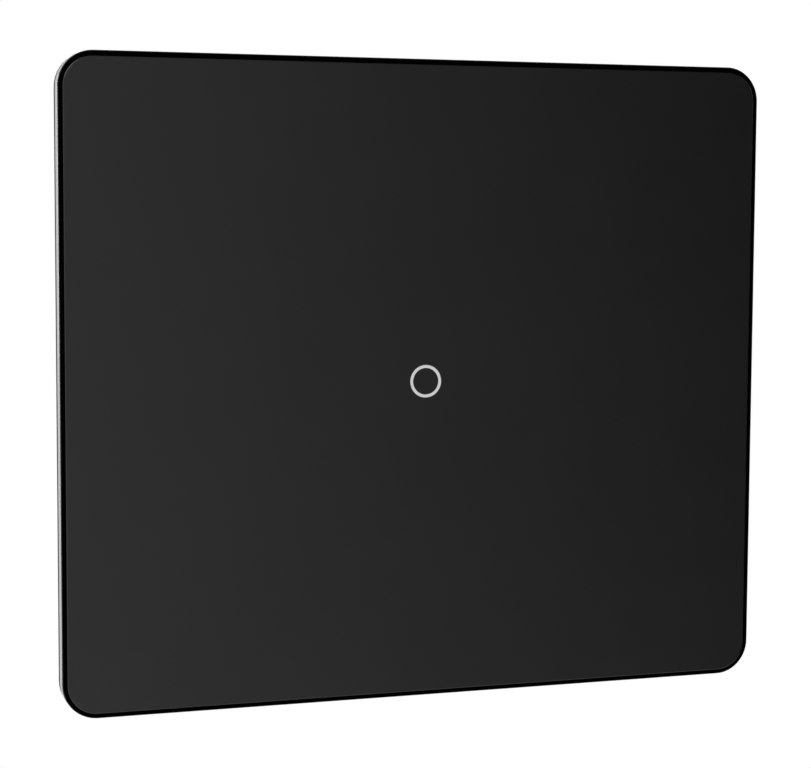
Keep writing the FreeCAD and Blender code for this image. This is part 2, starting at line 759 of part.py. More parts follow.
def housing_ledges(body):
    """Ledges on the side walls that the main board's rear face rests on."""
    for side in (-1, 1):
        outer = side * (at.inner_half + size.fit_gap)
        inner = side * (at.inner_half - size.ledge_size)
        left, right = sorted((outer, inner), key=lambda value: value.number)
        upright = box(left, right, -size.ledge_length / 2, size.ledge_length / 2)
        pad(body, "front", at.main_back, at.main_back + size.ledge_length, upright)
    floor = -at.inner_half
    half = size.ledge_length / 2
    lower = box(-half, half, floor - size.fit_gap, floor + size.ledge_size)
    pad(body, "front", at.main_back, at.step_inside + size.fit_gap, lower)


def front_cover():
    body = new_body("front_cover")
    outline = rounded(0, 0, at.cover_size, at.cover_size, size.housing_corner + size.cover_lip)
    pad(body, "front", at.cover_front, at.frame_front, outline)
    soften(body, "Chamfer", size.cover_edge, outer_edges(body, 1, at.cover_front.number))
    inside = rounded(0, 0, at.inner_size, at.inner_size, at.inner_corner)
    cut(body, "front", at.cover_inside, at.frame_front, inside)
    bosses = [disc(x, z, size.post_radius) for x, z in corners(at.post)]
    pad(body, "front", at.cover_inside, at.frame_front, *bosses)
    ribs = [disc(x, z, size.spacer_radius) for x, z in corners(at.spacer, size.spacer_rise)]
    pad(body, "front", at.cover_inside, at.touch_front, *ribs)
    cut(body, "front", at.cover_front, at.cover_inside, disc(0, 0, size.spring_opening))
    button_hole = disc(size.button_side, -size.button_drop, size.button_radius + size.running_gap)
    cut(body, "front", at.cover_front, at.cover_inside, button_hole)
    shank_holes = [disc(x, z, size.cover_screw_radius + size.fit_gap) for x, z in corners(at.post)]
    cut(body, "front", at.cover_front, at.frame_front, *shank_holes)
    head_holes = [disc(x, z, size.cover_head_radius + size.fit_gap) for x, z in corners(at.post)]
    cut(body, "front", at.cover_front, at.cover_front + size.cover_head_height, *head_holes)


def cover_screws():
    body = new_body("cover_screws")
    head_back = at.cover_front + size.cover_head_height
    heads = [disc(x, z, size.cover_head_radius) for x, z in corners(at.post)]
    pad(body, "front", at.cover_front, head_back, *heads)
    shanks = [disc(x, z, size.cover_screw_radius) for x, z in corners(at.post)]
    pad(body, "front", head_back, head_back + size.cover_screw_length, *shanks)
    crosses = [cross(x, z, size.cross_reach, size.cross_width / 2) for x, z in corners(at.post)]
    cut(body, "front", at.cover_front, at.cover_front + size.cross_depth, *crosses)


def cross(x, z, reach, half_width):
    """A cross-shaped screwdriver recess."""
    quarter = [(reach, -half_width), (reach, half_width), (half_width, half_width)]
    ring = []
    for _ in range(4):
        ring.extend(quarter)
        quarter = [(-b, a) for a, b in quarter]
    return polygon(*[(x + a, z + b) for a, b in ring])


def board(name, front, back):
    """A circuit board that fills the housing's inside and leaves its corner posts free."""
    body = new_body(name)
    pad(body, "front", front, back, octagon(at.board_half, at.board_cut))
    return body


def touch_board():
    board("touch_board", at.touch_front, at.touch_back)


def main_board():
    board("main_board", at.main_front, at.main_back)


def board_spacers():
    body = new_body("board_spacers")
    columns = [disc(x, z, size.spacer_radius) for x, z in corners(at.spacer, size.spacer_rise)]
    pad(body, "front", at.touch_back, at.main_front, *columns)


def light_tube():
    body = new_body("light_tube")
    pad(body, "front", at.sensor_front, at.touch_front, disc(0, 0, size.tube_radius))
    hollow = disc(0, 0, size.tube_radius - size.tube_wall)
    cut(body, "front", at.sensor_front + size.tube_wall, at.touch_front, hollow)


def indicator_light():
    body = new_body("indicator_light")
    die = block(formula(0), formula(0), size.light_size, size.light_size)
    pad(body, "front", at.touch_front - size.light_height, at.touch_front, die)


def arc_through(start, corner, end):
    """An arc that leaves start towards a corner point and reaches end from it."""
    middle = (start + end) * 0.5
    to_corner = corner - middle
    half_chord = (end - start).Length / 2
    half_turn = math.atan2(to_corner.Length, half_chord)
    top = middle + to_corner.normalize() * (half_chord * math.tan(half_turn / 2))
    return Part.Arc(start, top, end).toShape()


def biarc(start, along_start, end, along_end):
    """Two arcs from start to end that follow both directions and meet smoothly."""
    chord = end - start
    both = along_start + along_end
    square = 2 * (along_start.dot(along_end) - 1)
    linear = -2 * chord.dot(both)
    constant = chord.dot(chord)
    reach = (-linear - math.sqrt(linear * linear - 4 * square * constant)) / (2 * square)
    first = start + along_start * reach
    second = end - along_end * reach
    joint = (first + second) * 0.5
    return [arc_through(start, first, joint), arc_through(joint, second, end)]


def touch_spring():
    """A coil spring from the touch board to the film behind the glass, wound from arcs of a quarter turn."""
    wire = float(sheet.get("spring_wire"))
    radius = float(sheet.get("spring_radius"))
    turns = float(sheet.get("spring_turns"))
    seat = at.touch_front.number - wire / 2
    top = at.sensor_front.number + wire / 2
    rise = (seat - top) / (turns * 2 * math.pi)
    slant = math.hypot(radius, rise)

    def point(turn):
        return FreeCAD.Vector(radius * math.cos(turn), seat - rise * turn, radius * math.sin(turn))

    def direction(turn):
        return FreeCAD.Vector(-radius * math.sin(turn), -rise, radius * math.cos(turn)) * (1 / slant)

    quarters = int(round(turns * 4))
    edges = []
    for quarter in range(quarters):
        start = quarter * math.pi / 2
        end = start + math.pi / 2
        edges.extend(biarc(point(start), direction(start), point(end), direction(end)))
    section = Part.Wire(Part.Circle(point(0), direction(0), wire / 2).toShape())
    spring = doc.addObject("Part::Feature", "touch_spring")
    spring.Label = "touch_spring"
    spring.Shape = Part.Wire(edges).makePipeShell([section], True, False)
    NODES.append(spring)
    print("spring: gap between turns %.2f mm" % (rise * 2 * math.pi - wire))


def touch_chips():
    body = new_body("touch_chips")
    chips = []
    for side, inset, drop in TOUCH_CHIP_PLACES:
        chips.append(block(side * (at.post - inset), at.post - drop, size.chip_size, size.chip_size))
    pad(body, "front", at.touch_front - size.chip_height, at.touch_front, *chips)


def touch_parts():
    body = new_body("touch_parts")
    long_side, short_side, rise = CHIP_PART_SIZE
    parts = [block(formula(x), formula(z), long_side, short_side) for x, z in TOUCH_PART_PLACES]
    pad(body, "front", at.touch_front - rise, at.touch_front, *parts)


def pairing_switch():
    body = new_body("pairing_switch")
    place = (size.button_side, -size.button_drop)
    case_front = at.touch_front - size.switch_height
    pad(body, "front", case_front, at.touch_front, block(*place, size.switch_size, size.switch_size))
    flange_back = at.cover_inside + size.fit_gap + size.button_flange_height
    plunger_front = flange_back + size.button_travel + size.fit_gap
    pad(body, "front", plunger_front, case_front, disc(*place, size.plunger_radius))


def pairing_button():
    body = new_body("pairing_button")
    place = (size.button_side, -size.button_drop)
    flange_front = at.cover_inside + size.fit_gap
    flange_back = flange_front + size.button_flange_height
    front = at.cover_front - size.button_proud
    pad(body, "front", front, flange_back, disc(*place, size.button_radius))
    pad(body, "front", flange_front, flange_back, disc(*place, size.button_radius + size.button_flange))


def radio_place():
    """The middle of the radio board, beside the left spacer."""
    return size.radio_width / 2 + size.radio_gap + size.spacer_radius - at.spacer, size.radio_rise


def radio_board():
    body = new_body("radio_board")
    x, z = radio_place()
    outline = block(x, z, size.radio_width, size.radio_height)
    pad(body, "front", at.touch_back, at.touch_back + size.radio_board, outline)


def radio_shield():
    body = new_body("radio_shield")
    x, z = radio_place()
    inset = 2 * size.shield_inset
    outline = block(x, z, size.radio_width - inset, size.radio_height - inset)
    front = at.touch_back + size.radio_board
    pad(body, "front", front, front + size.shield_height, outline)


def header_columns():
    """Places across of the header's pins."""
    return [(number - (HEADER_PINS - 1) / 2) * size.pin_spacing for number in range(HEADER_PINS)]


def pin_header():
    body = new_body("pin_header")
    strip = block(formula(0), at.header, HEADER_PINS * size.pin_spacing, size.header_width)
    back = at.touch_back + size.header_height
    pad(body, "front", at.touch_back, back, strip)
    pins = [block(x, at.header, size.header_pin, size.header_pin) for x in header_columns()]
    pad(body, "front", back, back + size.header_pin_length, *pins)


def header_socket():
    body = new_body("header_socket")
    strip = block(formula(0), at.header, HEADER_PINS * size.pin_spacing, size.header_width)
    front = at.touch_back + size.header_height + size.fit_gap
    pad(body, "front", front, at.main_front, strip)
    width = size.header_pin + 2 * size.fit_gap
    holes = [block(x, at.header, width, width) for x in header_columns()]
    cut(body, "front", front, front + size.header_pin_length, *holes)


def terminal_places():
    """Places across of the terminals, left to right."""
    return [(number - (TERMINALS - 1) / 2) * size.terminal_pitch for number in range(TERMINALS)]


def bar_width():
    """The current bar passes through the clamp's window."""
    return size.clamp_width - 2 * size.clamp_side - 2 * size.safe_gap


def bar_leg_back():
    """Upper side of the bar's leg, below the block's top wall."""
    return at.cell_top - size.bar_gap


def bar_leg_hole(place):
    """The hole in the housing's step for one leg."""
    middle = bar_leg_back() - size.bar_leg / 2
    return block(place, middle, bar_width() + 2 * size.fit_gap, size.bar_leg + 2 * size.fit_gap)


def terminal_bars():
    body = new_body("terminal_bars")
    leg_top = bar_leg_back()
    leg_bottom = leg_top - size.bar_leg
    foot = at.clamp_bottom - size.bar_gap
    outline = polygon(
        (at.bar_front, foot),
        (at.bar_back, foot),
        (at.bar_back, leg_top),
        (at.main_back, leg_top),
        (at.main_back, leg_bottom),
        (at.bar_front, leg_bottom),
    )
    for place in terminal_places():
        pad(body, "side", place - bar_width() / 2, place + bar_width() / 2, outline)


def terminal_block():
    body = new_body("terminal_block")
    half = size.terminal_pitch * (TERMINALS / 2) + size.block_end
    pad(body, "front", at.step_back, at.housing_back, box(-half, half, at.block_bottom, at.block_top))
    cell_half = size.clamp_width / 2 + size.safe_gap
    cell_height = at.cell_top - at.cell_bottom
    cell_middle = (at.cell_top + at.cell_bottom) / 2
    places = terminal_places()
    cells = [block(place, cell_middle, 2 * cell_half, cell_height) for place in places]
    cut(body, "front", at.step_back, at.cell_back, *cells)
    bore_radius = size.terminal_head_radius + size.running_gap
    bores = [disc(place, at.screw_axis, bore_radius) for place in places]
    cut(body, "front", at.cell_back, at.housing_back, *bores)
    wire_level = (at.jaw_back + at.bar_front) / 2
    holes = [disc(place, wire_level, size.wire_hole) for place in places]
    cut(body, "top", at.block_bottom, at.cell_bottom, *holes)


def terminal_clamp(number, place):
    body = new_body("terminal_clamp_%d" % number)
    half = size.clamp_width / 2
    half_window = half - size.clamp_side
    outside = box(place - half, place + half, at.clamp_front, at.nut_back)
    pad(body, "top", at.clamp_bottom, at.clamp_top, outside)
    window = box(place - half_window, place + half_window, at.jaw_back, at.nut_front)
    cut(body, "top", at.clamp_bottom, at.clamp_top, window)
    thread = disc(place, at.screw_axis, size.terminal_screw_radius + size.running_gap)
    cut(body, "front", at.nut_front, at.nut_back, thread)


def terminal_screw(number, place):
    body = new_body("terminal_screw_%d" % number)
    tip = at.bar_back + size.running_gap
    pad(body, "front", tip, at.cell_back, disc(place, at.screw_axis, size.terminal_screw_radius))
    pad(body, "front", at.cell_back, at.head_back, disc(place, at.screw_axis, size.terminal_head_radius))
    slot_length = 2 * (size.terminal_head_radius + size.fit_gap)
    recess = block(place, at.screw_axis, slot_length, size.driver_slot)
    cut(body, "front", at.head_back - size.driver_depth, at.head_back, recess)


def relay_places():
    """Where the relay's parts stand. Its coil lies across, its armature hangs at the right."""
    relay = SimpleNamespace()
    relay.left = size.relay_gap - at.inner_half
    relay.right = relay.left + size.relay_length
    relay.middle = size.relay_rise
    relay.base_back = at.main_back + size.relay_base
    relay.back = at.main_back + size.relay_height
    relay.axis = at.main_back + size.coil_rise
    relay.yoke_left = relay.left + size.relay_wall + size.safe_gap
    relay.coil_left = relay.yoke_left + size.yoke_thickness
    relay.coil_right = relay.coil_left + size.coil_length
    relay.pole_right = relay.coil_right + size.pole_thickness
    relay.armature_left = relay.pole_right + size.armature_gap
    relay.armature_right = relay.armature_left + size.armature_thickness
    relay.yoke_front = relay.axis + size.coil_radius + size.coil_flange + size.fit_gap
    relay.yoke_back = relay.yoke_front + size.yoke_thickness
    # the armature rocks on the yoke's rounded end
    relay.hinge = (relay.yoke_front + relay.yoke_back) / 2
    relay.nose = relay.armature_left - size.running_gap - size.yoke_thickness / 2
    relay.armature_front = relay.axis - size.pole_radius - size.safe_gap
    relay.contact = relay.base_back + size.contact_radius + size.safe_gap
    return relay


relay = relay_places()


def relay_base():
    body = new_body("relay_base")
    inset = size.relay_wall + size.fit_gap
    half = size.relay_width / 2 - inset
    outline = box(relay.left + inset, relay.right - inset, relay.middle - half, relay.middle + half)
    pad(body, "front", at.main_back, relay.base_back, outline)


def relay_case():
    body = new_body("relay_case")
    half = size.relay_width / 2
    outside = box(relay.left, relay.right, relay.middle - half, relay.middle + half)
    pad(body, "front", at.main_back, relay.back, outside)
    wall = size.relay_wall
    room = half - wall
    inside = box(relay.left + wall, relay.right - wall, relay.middle - room, relay.middle + room)
    cut(body, "front", at.main_back, relay.back - wall, inside)


def relay_coil():
    body = new_body("relay_coil")
    pad(body, "side", relay.coil_left, relay.coil_right, disc(relay.axis, relay.middle, size.coil_radius))
    flange = disc(relay.axis, relay.middle, size.coil_radius + size.coil_flange)
    pad(body, "side", relay.coil_left, relay.coil_left + size.coil_flange, flange)
    pad(body, "side", relay.coil_right - size.coil_flange, relay.coil_right, flange)
    cut(body, "side", relay.coil_left, relay.coil_right, disc(relay.axis, relay.middle, size.core_radius))


def relay_core():
    body = new_body("relay_core")
    pad(body, "side", relay.coil_left, relay.coil_right, disc(relay.axis, relay.middle, size.core_radius))
    pad(body, "side", relay.coil_right, relay.pole_right, disc(relay.axis, relay.middle, size.pole_radius))


def relay_yoke():
    body = new_body("relay_yoke")
    outline = polygon(
        (relay.yoke_left, relay.base_back),
        (relay.coil_left, relay.base_back),
        (relay.coil_left, relay.yoke_front),
        (relay.nose, relay.yoke_front),
        (relay.nose, relay.yoke_back),
        (relay.yoke_left, relay.yoke_back),
    )
    low, high = relay.middle - size.yoke_width / 2, relay.middle + size.yoke_width / 2
    pad(body, "top", low, high, outline)
    pad(body, "top", low, high, disc(relay.nose, relay.hinge, size.yoke_thickness / 2))


def relay_armature():
    body = new_body("relay_armature")
    outline = box(relay.armature_left, relay.armature_right, relay.armature_front, relay.yoke_back)
    half = size.armature_width / 2
    pad(body, "top", relay.middle - half, relay.middle + half, outline)


def relay_blade():
    body = new_body("relay_blade")
    half = size.blade_width / 2
    tail = relay.contact - size.contact_radius
    top = relay.axis + size.pole_radius
    outline = box(relay.armature_right, relay.armature_right + size.blade_thickness, tail, top)
    pad(body, "top", relay.middle - half, relay.middle + half, outline)
    button = disc(relay.contact, relay.middle, size.contact_radius)
    pad(body, "side", relay.armature_right - size.contact_height, relay.armature_right, button)


def relay_contact():
    body = new_body("relay_contact")
    half = size.blade_width / 2
    button_right = relay.armature_right - size.contact_height - size.contact_gap
    button_left = button_right - size.contact_height
    post_top = relay.contact + size.contact_radius
    post = box(button_left - size.contact_height, button_left, relay.base_back, post_top)
    pad(body, "top", relay.middle - half, relay.middle + half, post)
    button = disc(relay.contact, relay.middle, size.contact_radius)
    pad(body, "side", button_left, button_right, button)


def transformer_core():
    body = new_body("transformer_core")
    x = at.inner_half - size.transformer_inset
    half = size.transformer_width / 2
    back = at.main_back + size.transformer_height
    limb = size.transformer_limb
    depth = size.transformer_core / 2
    low, high = size.transformer_rise - depth, size.transformer_rise + depth
    pad(body, "top", low, high, box(x - half, x + half, at.main_back, back))
    yoke = size.transformer_yoke
    cut(body, "top", low, high, box(x - half + limb, x + half - limb, at.main_back + yoke, back - yoke))


def transformer_coil():
    body = new_body("transformer_coil")
    x = at.inner_half - size.transformer_inset
    half = size.transformer_width / 2 - size.transformer_limb - size.fit_gap
    end = size.transformer_yoke + size.fit_gap
    front = at.main_back + end
    back = at.main_back + size.transformer_height - end
    depth = size.transformer_coil / 2
    low, high = size.transformer_rise - depth, size.transformer_rise + depth
    pad(body, "top", low, high, box(x - half, x + half, front, back))
    soften(body, "Fillet", size.transformer_edge, long_edges(body, 2))


def long_edges(body, axis):
    """Names of the straight edges that run along an axis."""
    names = []
    for number, edge in enumerate(body.Shape.Edges, start=1):
        bounds = edge.BoundBox
        spans = [bounds.XLength, bounds.YLength, bounds.ZLength]
        along = spans.pop(axis)
        if along > SAME_LEVEL and max(spans) < SAME_LEVEL:
            names.append("Edge%d" % number)
    return names


def from_middle(place):
    """A place behind the main board, across from the middle and up from the wall above the terminals."""
    across, rise = place
    return formula(across), at.room_bottom + rise


def from_wall(side, place):
    """A place behind the main board, in from the left (-1) or right (1) wall, and up as above."""
    inset, rise = place
    return side * (at.inner_half - inset), at.room_bottom + rise


def upright_can(name, places, radius, height):
    """Round parts that stand on the rear face of the main board, with a rounded far end."""
    body = new_body(name)
    cans = [disc(x, z, radius) for x, z in places]
    back = at.main_back + height
    pad(body, "front", at.main_back, back, *cans)
    soften(body, "Fillet", size.can_edge, edges_in_plane(body, 1, back.number))


def power_parts():
    small_places = [from_wall(1, place) for place in SMALL_PLACES]
    fuse_place = from_middle(FUSE_PLACE)
    # the big capacitor stands midway between the fuse and the small capacitor beside it
    between = (fuse_place[0] + size.fuse_radius + small_places[0][0] - size.small_radius) / 2
    bulk_place = between, at.room_bottom + size.bulk_rise
    upright_can("bulk_capacitor", [bulk_place], size.bulk_radius, size.bulk_height)
    upright_can("small_capacitors", small_places, size.small_radius, size.small_height)
    upright_can("fuse", [fuse_place], size.fuse_radius, size.fuse_height)


def surge_disc():
    body = new_body("surge_disc")
    x, z = from_middle(DISC_PLACE)
    level = at.main_back + size.disc_radius + size.safe_gap
    half = size.disc_thickness / 2
    pad(body, "top", z - half, z + half, disc(x, level, size.disc_radius))
    half_foot = size.disc_radius / 2
    pad(body, "top", z - half, z + half, box(x - half_foot, x + half_foot, at.main_back, level))


def rectifier():
    body = new_body("rectifier")
    x, z = from_wall(-1, RECTIFIER_PLACE)
    outline = block(x, z, size.rectifier_width, size.rectifier_width)
    pad(body, "front", at.main_back, at.main_back + size.rectifier_height, outline)


def choke():
    body = new_body("choke")
    x, z = (formula(value) for value in CHOKE_PLACE)
    pad(body, "front", at.main_front - size.choke_height, at.main_front, disc(x, z, size.choke_radius))


def build():
    """Make every part, front to back."""
    for make in (glass_panel, ring_inlay, backing_film, panel_rim, panel_carrier, panel_magnets, guide_pins):
        make()
    for make in (support_frame, front_cover, rear_housing, cover_screws):
        make()
    for make in (touch_board, touch_spring, light_tube, indicator_light, touch_chips, touch_parts):
        make()
    for make in (pairing_switch, pairing_button, radio_board, radio_shield, pin_header, header_socket):
        make()
    for make in (board_spacers, main_board, relay_base, relay_case, relay_coil, relay_core, relay_yoke):
        make()
    for make in (relay_armature, relay_blade, relay_contact, transformer_core, transformer_coil):
        make()
    for make in (power_parts, surge_disc, rectifier, choke, terminal_bars, terminal_block):
        make()
    for number, place in enumerate(terminal_places(), start=1):
        terminal_clamp(number, place)
        terminal_screw(number, place)


def check():
    """Stop if anything in the document failed or any part's shape is not sound."""
    doc.recompute()
    for thing in doc.Objects:
        if "Invalid" in thing.State or "Error" in thing.State:
            raise RuntimeError("%s failed" % thing.Label)
    for node in NODES:
        if node.Shape.isNull() or not node.Shape.isValid() or not node.Shape.Solids:
            raise RuntimeError("%s has no sound shape" % node.Label)


def write():
    """Write one file for each part."""
    os.makedirs("parts", exist_ok=True)
    for node in NODES:
        node.Shape.exportStep("parts/%s.step" % node.Label)


build()
check()
write()
print("%d parts, panel %.1f by %.1f mm" % (len(NODES), at.panel_width.number, at.panel_height.number))
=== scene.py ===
import json
import math

import bmesh
import bpy
from mathutils import Matrix, Vector


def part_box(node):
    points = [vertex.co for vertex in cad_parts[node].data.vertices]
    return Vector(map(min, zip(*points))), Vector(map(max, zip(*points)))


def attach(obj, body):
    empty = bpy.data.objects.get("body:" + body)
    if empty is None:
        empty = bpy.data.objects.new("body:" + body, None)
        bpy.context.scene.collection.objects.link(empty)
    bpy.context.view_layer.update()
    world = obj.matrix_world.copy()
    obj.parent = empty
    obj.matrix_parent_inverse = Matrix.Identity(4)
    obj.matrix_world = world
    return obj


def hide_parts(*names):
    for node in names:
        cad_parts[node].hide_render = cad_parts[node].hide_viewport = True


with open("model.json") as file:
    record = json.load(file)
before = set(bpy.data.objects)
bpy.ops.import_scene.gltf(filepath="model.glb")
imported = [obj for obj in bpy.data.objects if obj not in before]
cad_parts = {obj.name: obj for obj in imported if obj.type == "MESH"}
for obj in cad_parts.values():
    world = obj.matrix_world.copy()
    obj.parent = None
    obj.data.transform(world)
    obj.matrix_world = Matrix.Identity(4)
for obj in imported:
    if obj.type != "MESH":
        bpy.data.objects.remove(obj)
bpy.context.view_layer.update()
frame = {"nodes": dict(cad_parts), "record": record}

# Looks of a wall-mounted touch light switch with a black glass panel.
# Metres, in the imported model's frame: +X right as seen from the front, +Z up, +Y into the wall.
MM = 0.001


# Shader nodes

# every finish, by its name
LOOKS = {}
# the length of one wave of a wave texture whose scale is 1
WAVE = 2 * math.pi / 20


class Nodes:
    """A node tree, with short calls for the nodes that the finishes and the studio share."""

    def __init__(self, tree):
        self.tree = tree

    def node(self, kind, inputs=None, **settings):
        """Add a node. Inputs are numbers, colours or another node's output."""
        made = self.tree.nodes.new(kind)
        for key, value in settings.items():
            setattr(made, key, value)
        for key, value in (inputs or {}).items():
            self.feed(made.inputs[key], value)
        return made

    def feed(self, socket, value):
        """Link an output to a socket, or set the socket's own value."""
        if isinstance(value, bpy.types.NodeSocket):
            self.tree.links.new(value, socket)
        else:
            socket.default_value = value

    def spread(self, factor, low, high, start=0.35, end=0.65):
        """Map a factor from start..end to low..high."""
        inputs = {"Value": factor, "From Min": start, "From Max": end, "To Min": low, "To Max": high}
        return self.node("ShaderNodeMapRange", inputs).outputs["Result"]

    def math(self, operation, first, second=0.0):
        """One sum on two numbers or outputs."""
        return self.node("ShaderNodeMath", {0: first, 1: second}, operation=operation).outputs[0]


class Shader(Nodes):
    """One material's nodes. The material is kept in LOOKS."""

    def __init__(self, name):
        material = bpy.data.materials.new(name)
        material.use_nodes = True
        LOOKS[name] = material
        super().__init__(material.node_tree)
        self.surface = self.tree.nodes["Principled BSDF"]

    def place(self, stretch=(1, 1, 1)):
        """Where a point lies on its piece, in millimetres, with each axis stretched."""
        position = self.node("ShaderNodeTexCoord").outputs["Object"]
        scale = [share / MM for share in stretch]
        inputs = {0: position, 1: scale}
        return self.node("ShaderNodeVectorMath", inputs, operation="MULTIPLY").outputs[0]

    def noise(self, size, detail=3.0, stretch=(1, 1, 1)):
        """Noise whose blotches are about so many millimetres across."""
        inputs = {"Vector": self.place(stretch), "Scale": 1 / size, "Detail": detail}
        return self.node("ShaderNodeTexNoise", inputs).outputs["Fac"]

    def waves(self, pitch, direction, **extra):
        """Waves a pitch in millimetres apart along X, Y or Z."""
        inputs = {"Vector": self.place(), "Scale": WAVE / pitch, **extra}
        return self.node("ShaderNodeTexWave", inputs, bands_direction=direction).outputs["Fac"]

    def tint(self, factor, first, second):
        """A colour between two, by a factor. The node's colour sockets are 6 and 7, its result is 2."""
        mixed = self.node("ShaderNodeMix", {0: factor, 6: first, 7: second}, data_type="RGBA")
        return mixed.outputs[2]

    def bump(self, height, depth, normal=None):
        """A normal bent by a height, with the depth in millimetres."""
        inputs = {"Height": height, "Distance": depth * MM}
        if normal is not None:
            inputs["Normal"] = normal
        return self.node("ShaderNodeBump", inputs).outputs["Normal"]

    def edge(self):
        """1 on the worn edges of a rounded piece, 0 elsewhere."""
        return self.node("ShaderNodeAttribute", attribute_name="edge").outputs["Fac"]

    def set(self, **inputs):
        """Set the surface's inputs. An underscore in a name stands for a space."""
        for key, value in inputs.items():
            self.feed(self.surface.inputs[key.replace("_", " ")], value)


def shade(colour, share):
    """A colour made lighter or darker, with its alpha."""
    return tuple(min(1.0, part * share) for part in colour[:3]) + (1.0,)


def worn(shader, colour, bare, amount):
    """A colour that turns to the bare one in patches along the edges."""
    patches = shader.spread(shader.noise(size=0.9, detail=4.0), 0.0, amount, start=0.42, end=0.6)
    return shader.tint(shader.math("MULTIPLY", patches, shader.edge()), colour, bare)


def moulded(name, colour, roughness, grain, depth, gloss=0.5, cloud=0.08, rub=1.8):
    """Moulded plastic: a fine spark-eroded grain, faint flow marks, edges rubbed smooth."""
    shader = Shader(name)
    flow = shader.noise(size=9.0, detail=2.0, stretch=(1, 1, 0.4))
    body = shader.tint(shader.spread(flow, 0, 1), shade(colour, 1 - cloud), shade(colour, 1 + cloud))
    base = worn(shader, body, shade(colour, rub), amount=0.5)
    rough = shader.spread(shader.noise(size=2.2), roughness - 0.07, roughness + 0.08)
    rubbed = shader.math("SUBTRACT", rough, shader.math("MULTIPLY", shader.edge(), 0.12))
    normal = shader.bump(shader.noise(size=grain, detail=2.0), depth)
    shader.set(Base_Color=base, Roughness=rubbed, Normal=normal, Specular_IOR_Level=gloss)


def rolled(name, colour, roughness, stretch, streak, coat=0.12, relief=0.006, dull=0.09):
    """Metal sheet or bar: rolling or grinding lines along one axis, a mottled plating, bright edges."""
    shader = Shader(name)
    lines = shader.noise(size=streak, detail=4.0, stretch=stretch)
    blotch = shader.noise(size=3.0)
    coated = shader.tint(shader.spread(blotch, 0, 1), shade(colour, 1 - coat), shade(colour, 1 + coat))
    base = worn(shader, coated, shade(colour, 1.35), amount=0.6)
    lined = shader.spread(lines, roughness - dull, roughness + dull)
    mottled = shader.math("ADD", lined, shader.spread(blotch, -0.04, 0.04))
    normal = shader.bump(lines, relief)
    shader.set(Base_Color=base, Roughness=mottled, Normal=normal, Metallic=1.0)


def plated(name, colour, roughness):
    """Bright plating: faint waves and fine rub marks."""
    shader = Shader(name)
    rub = shader.noise(size=0.12, stretch=(1, 0.15, 1))
    base = shader.tint(shader.spread(shader.noise(size=1.5), 0, 1), shade(colour, 0.92), shade(colour, 1.06))
    rough = shader.spread(rub, roughness - 0.04, roughness + 0.08)
    normal = shader.bump(shader.noise(size=0.8, detail=2.0), depth=0.004)
    shader.set(Base_Color=base, Roughness=rough, Normal=normal, Metallic=1.0)


def cast(name, colour, roughness, speck, depth):
    """Resin, ferrite or ceramic: a speckled, slightly pitted body."""
    shader = Shader(name)
    specks = shader.noise(size=speck, detail=4.0)
    body = shader.tint(shader.spread(specks, 0, 1), shade(colour, 0.85), shade(colour, 1.15))
    base = worn(shader, body, shade(colour, 1.5), amount=0.4)
    rough = shader.spread(shader.noise(size=1.4), roughness - 0.06, roughness + 0.08)
    normal = shader.bump(specks, depth)
    shader.set(Base_Color=base, Roughness=rough, Normal=normal)


def glass_face(name):
    """The printed face behind the glass: near black with a soft gloss and the faintest unevenness."""
    shader = Shader(name)
    cloud = shader.noise(size=14.0, detail=2.0)
    base = shader.tint(shader.spread(cloud, 0, 1), (0.0062, 0.0062, 0.0063, 1), (0.0070, 0.0070, 0.0071, 1))
    rough = shader.spread(shader.noise(size=5.0, detail=4.0), 0.19, 0.22)
    normal = shader.bump(shader.noise(size=0.5, detail=2.0), depth=0.0003)
    shader.set(Base_Color=base, Roughness=rough, Normal=normal)


def glass_border(name, colour):
    """The ground edge of the glass, blackened: it hardly reflects. In a lighter colour it is a painted
    highlight along the edge.
    """
    shader = Shader(name)
    grind = shader.noise(size=0.12)
    base = shader.tint(shader.spread(grind, 0, 1), shade(colour, 0.6), shade(colour, 1.4))
    rough = shader.spread(grind, 0.5, 0.62)
    normal = shader.bump(grind, depth=0.003)
    shader.set(Base_Color=base, Roughness=rough, Normal=normal, Specular_IOR_Level=0.0)


def ring_light(name):
    """The ring mark: pale, satin, a little uneven."""
    shader = Shader(name)
    grain = shader.noise(size=0.25)
    base = shader.tint(shader.spread(grain, 0, 1), (0.60, 0.60, 0.60, 1), (0.66, 0.66, 0.66, 1))
    rough = shader.spread(grain, 0.4, 0.5)
    shader.set(Base_Color=base, Roughness=rough, Normal=shader.bump(grain, depth=0.002))


def anodised(name):
    """The aluminium rim: satin anodising with fine lines round the panel."""
    shader = Shader(name)
    lines = shader.noise(size=0.1, stretch=(0.15, 1, 0.15))
    base = shader.tint(shader.spread(lines, 0, 1), (0.44, 0.445, 0.45, 1), (0.52, 0.525, 0.53, 1))
    bright = shader.tint(shader.edge(), base, (0.74, 0.74, 0.75, 1))
    rough = shader.spread(lines, 0.24, 0.34)
    tint = (0.72, 0.72, 0.72, 1)
    normal = shader.bump(lines, depth=0.003)
    shader.set(Base_Color=bright, Roughness=rough, Normal=normal, Metallic=1.0, Specular_Tint=tint)


def clear(name):
    """The light tube: clear plastic with faint flow lines."""
    shader = Shader(name)
    flow = shader.noise(size=1.2, detail=2.0, stretch=(1, 0.2, 1))
    base = shader.tint(shader.spread(flow, 0, 1), (0.86, 0.88, 0.90, 1), (0.94, 0.95, 0.96, 1))
    rough = shader.spread(flow, 0.12, 0.24)
    shader.set(Base_Color=base, Roughness=rough, Transmission_Weight=0.75, IOR=1.49)


TRACK_PITCH = 0.9
# cells in a millimetre: the areas that a board is divided into, and its vias
AREA_CELLS = 0.21
VIA_CELLS = 0.33
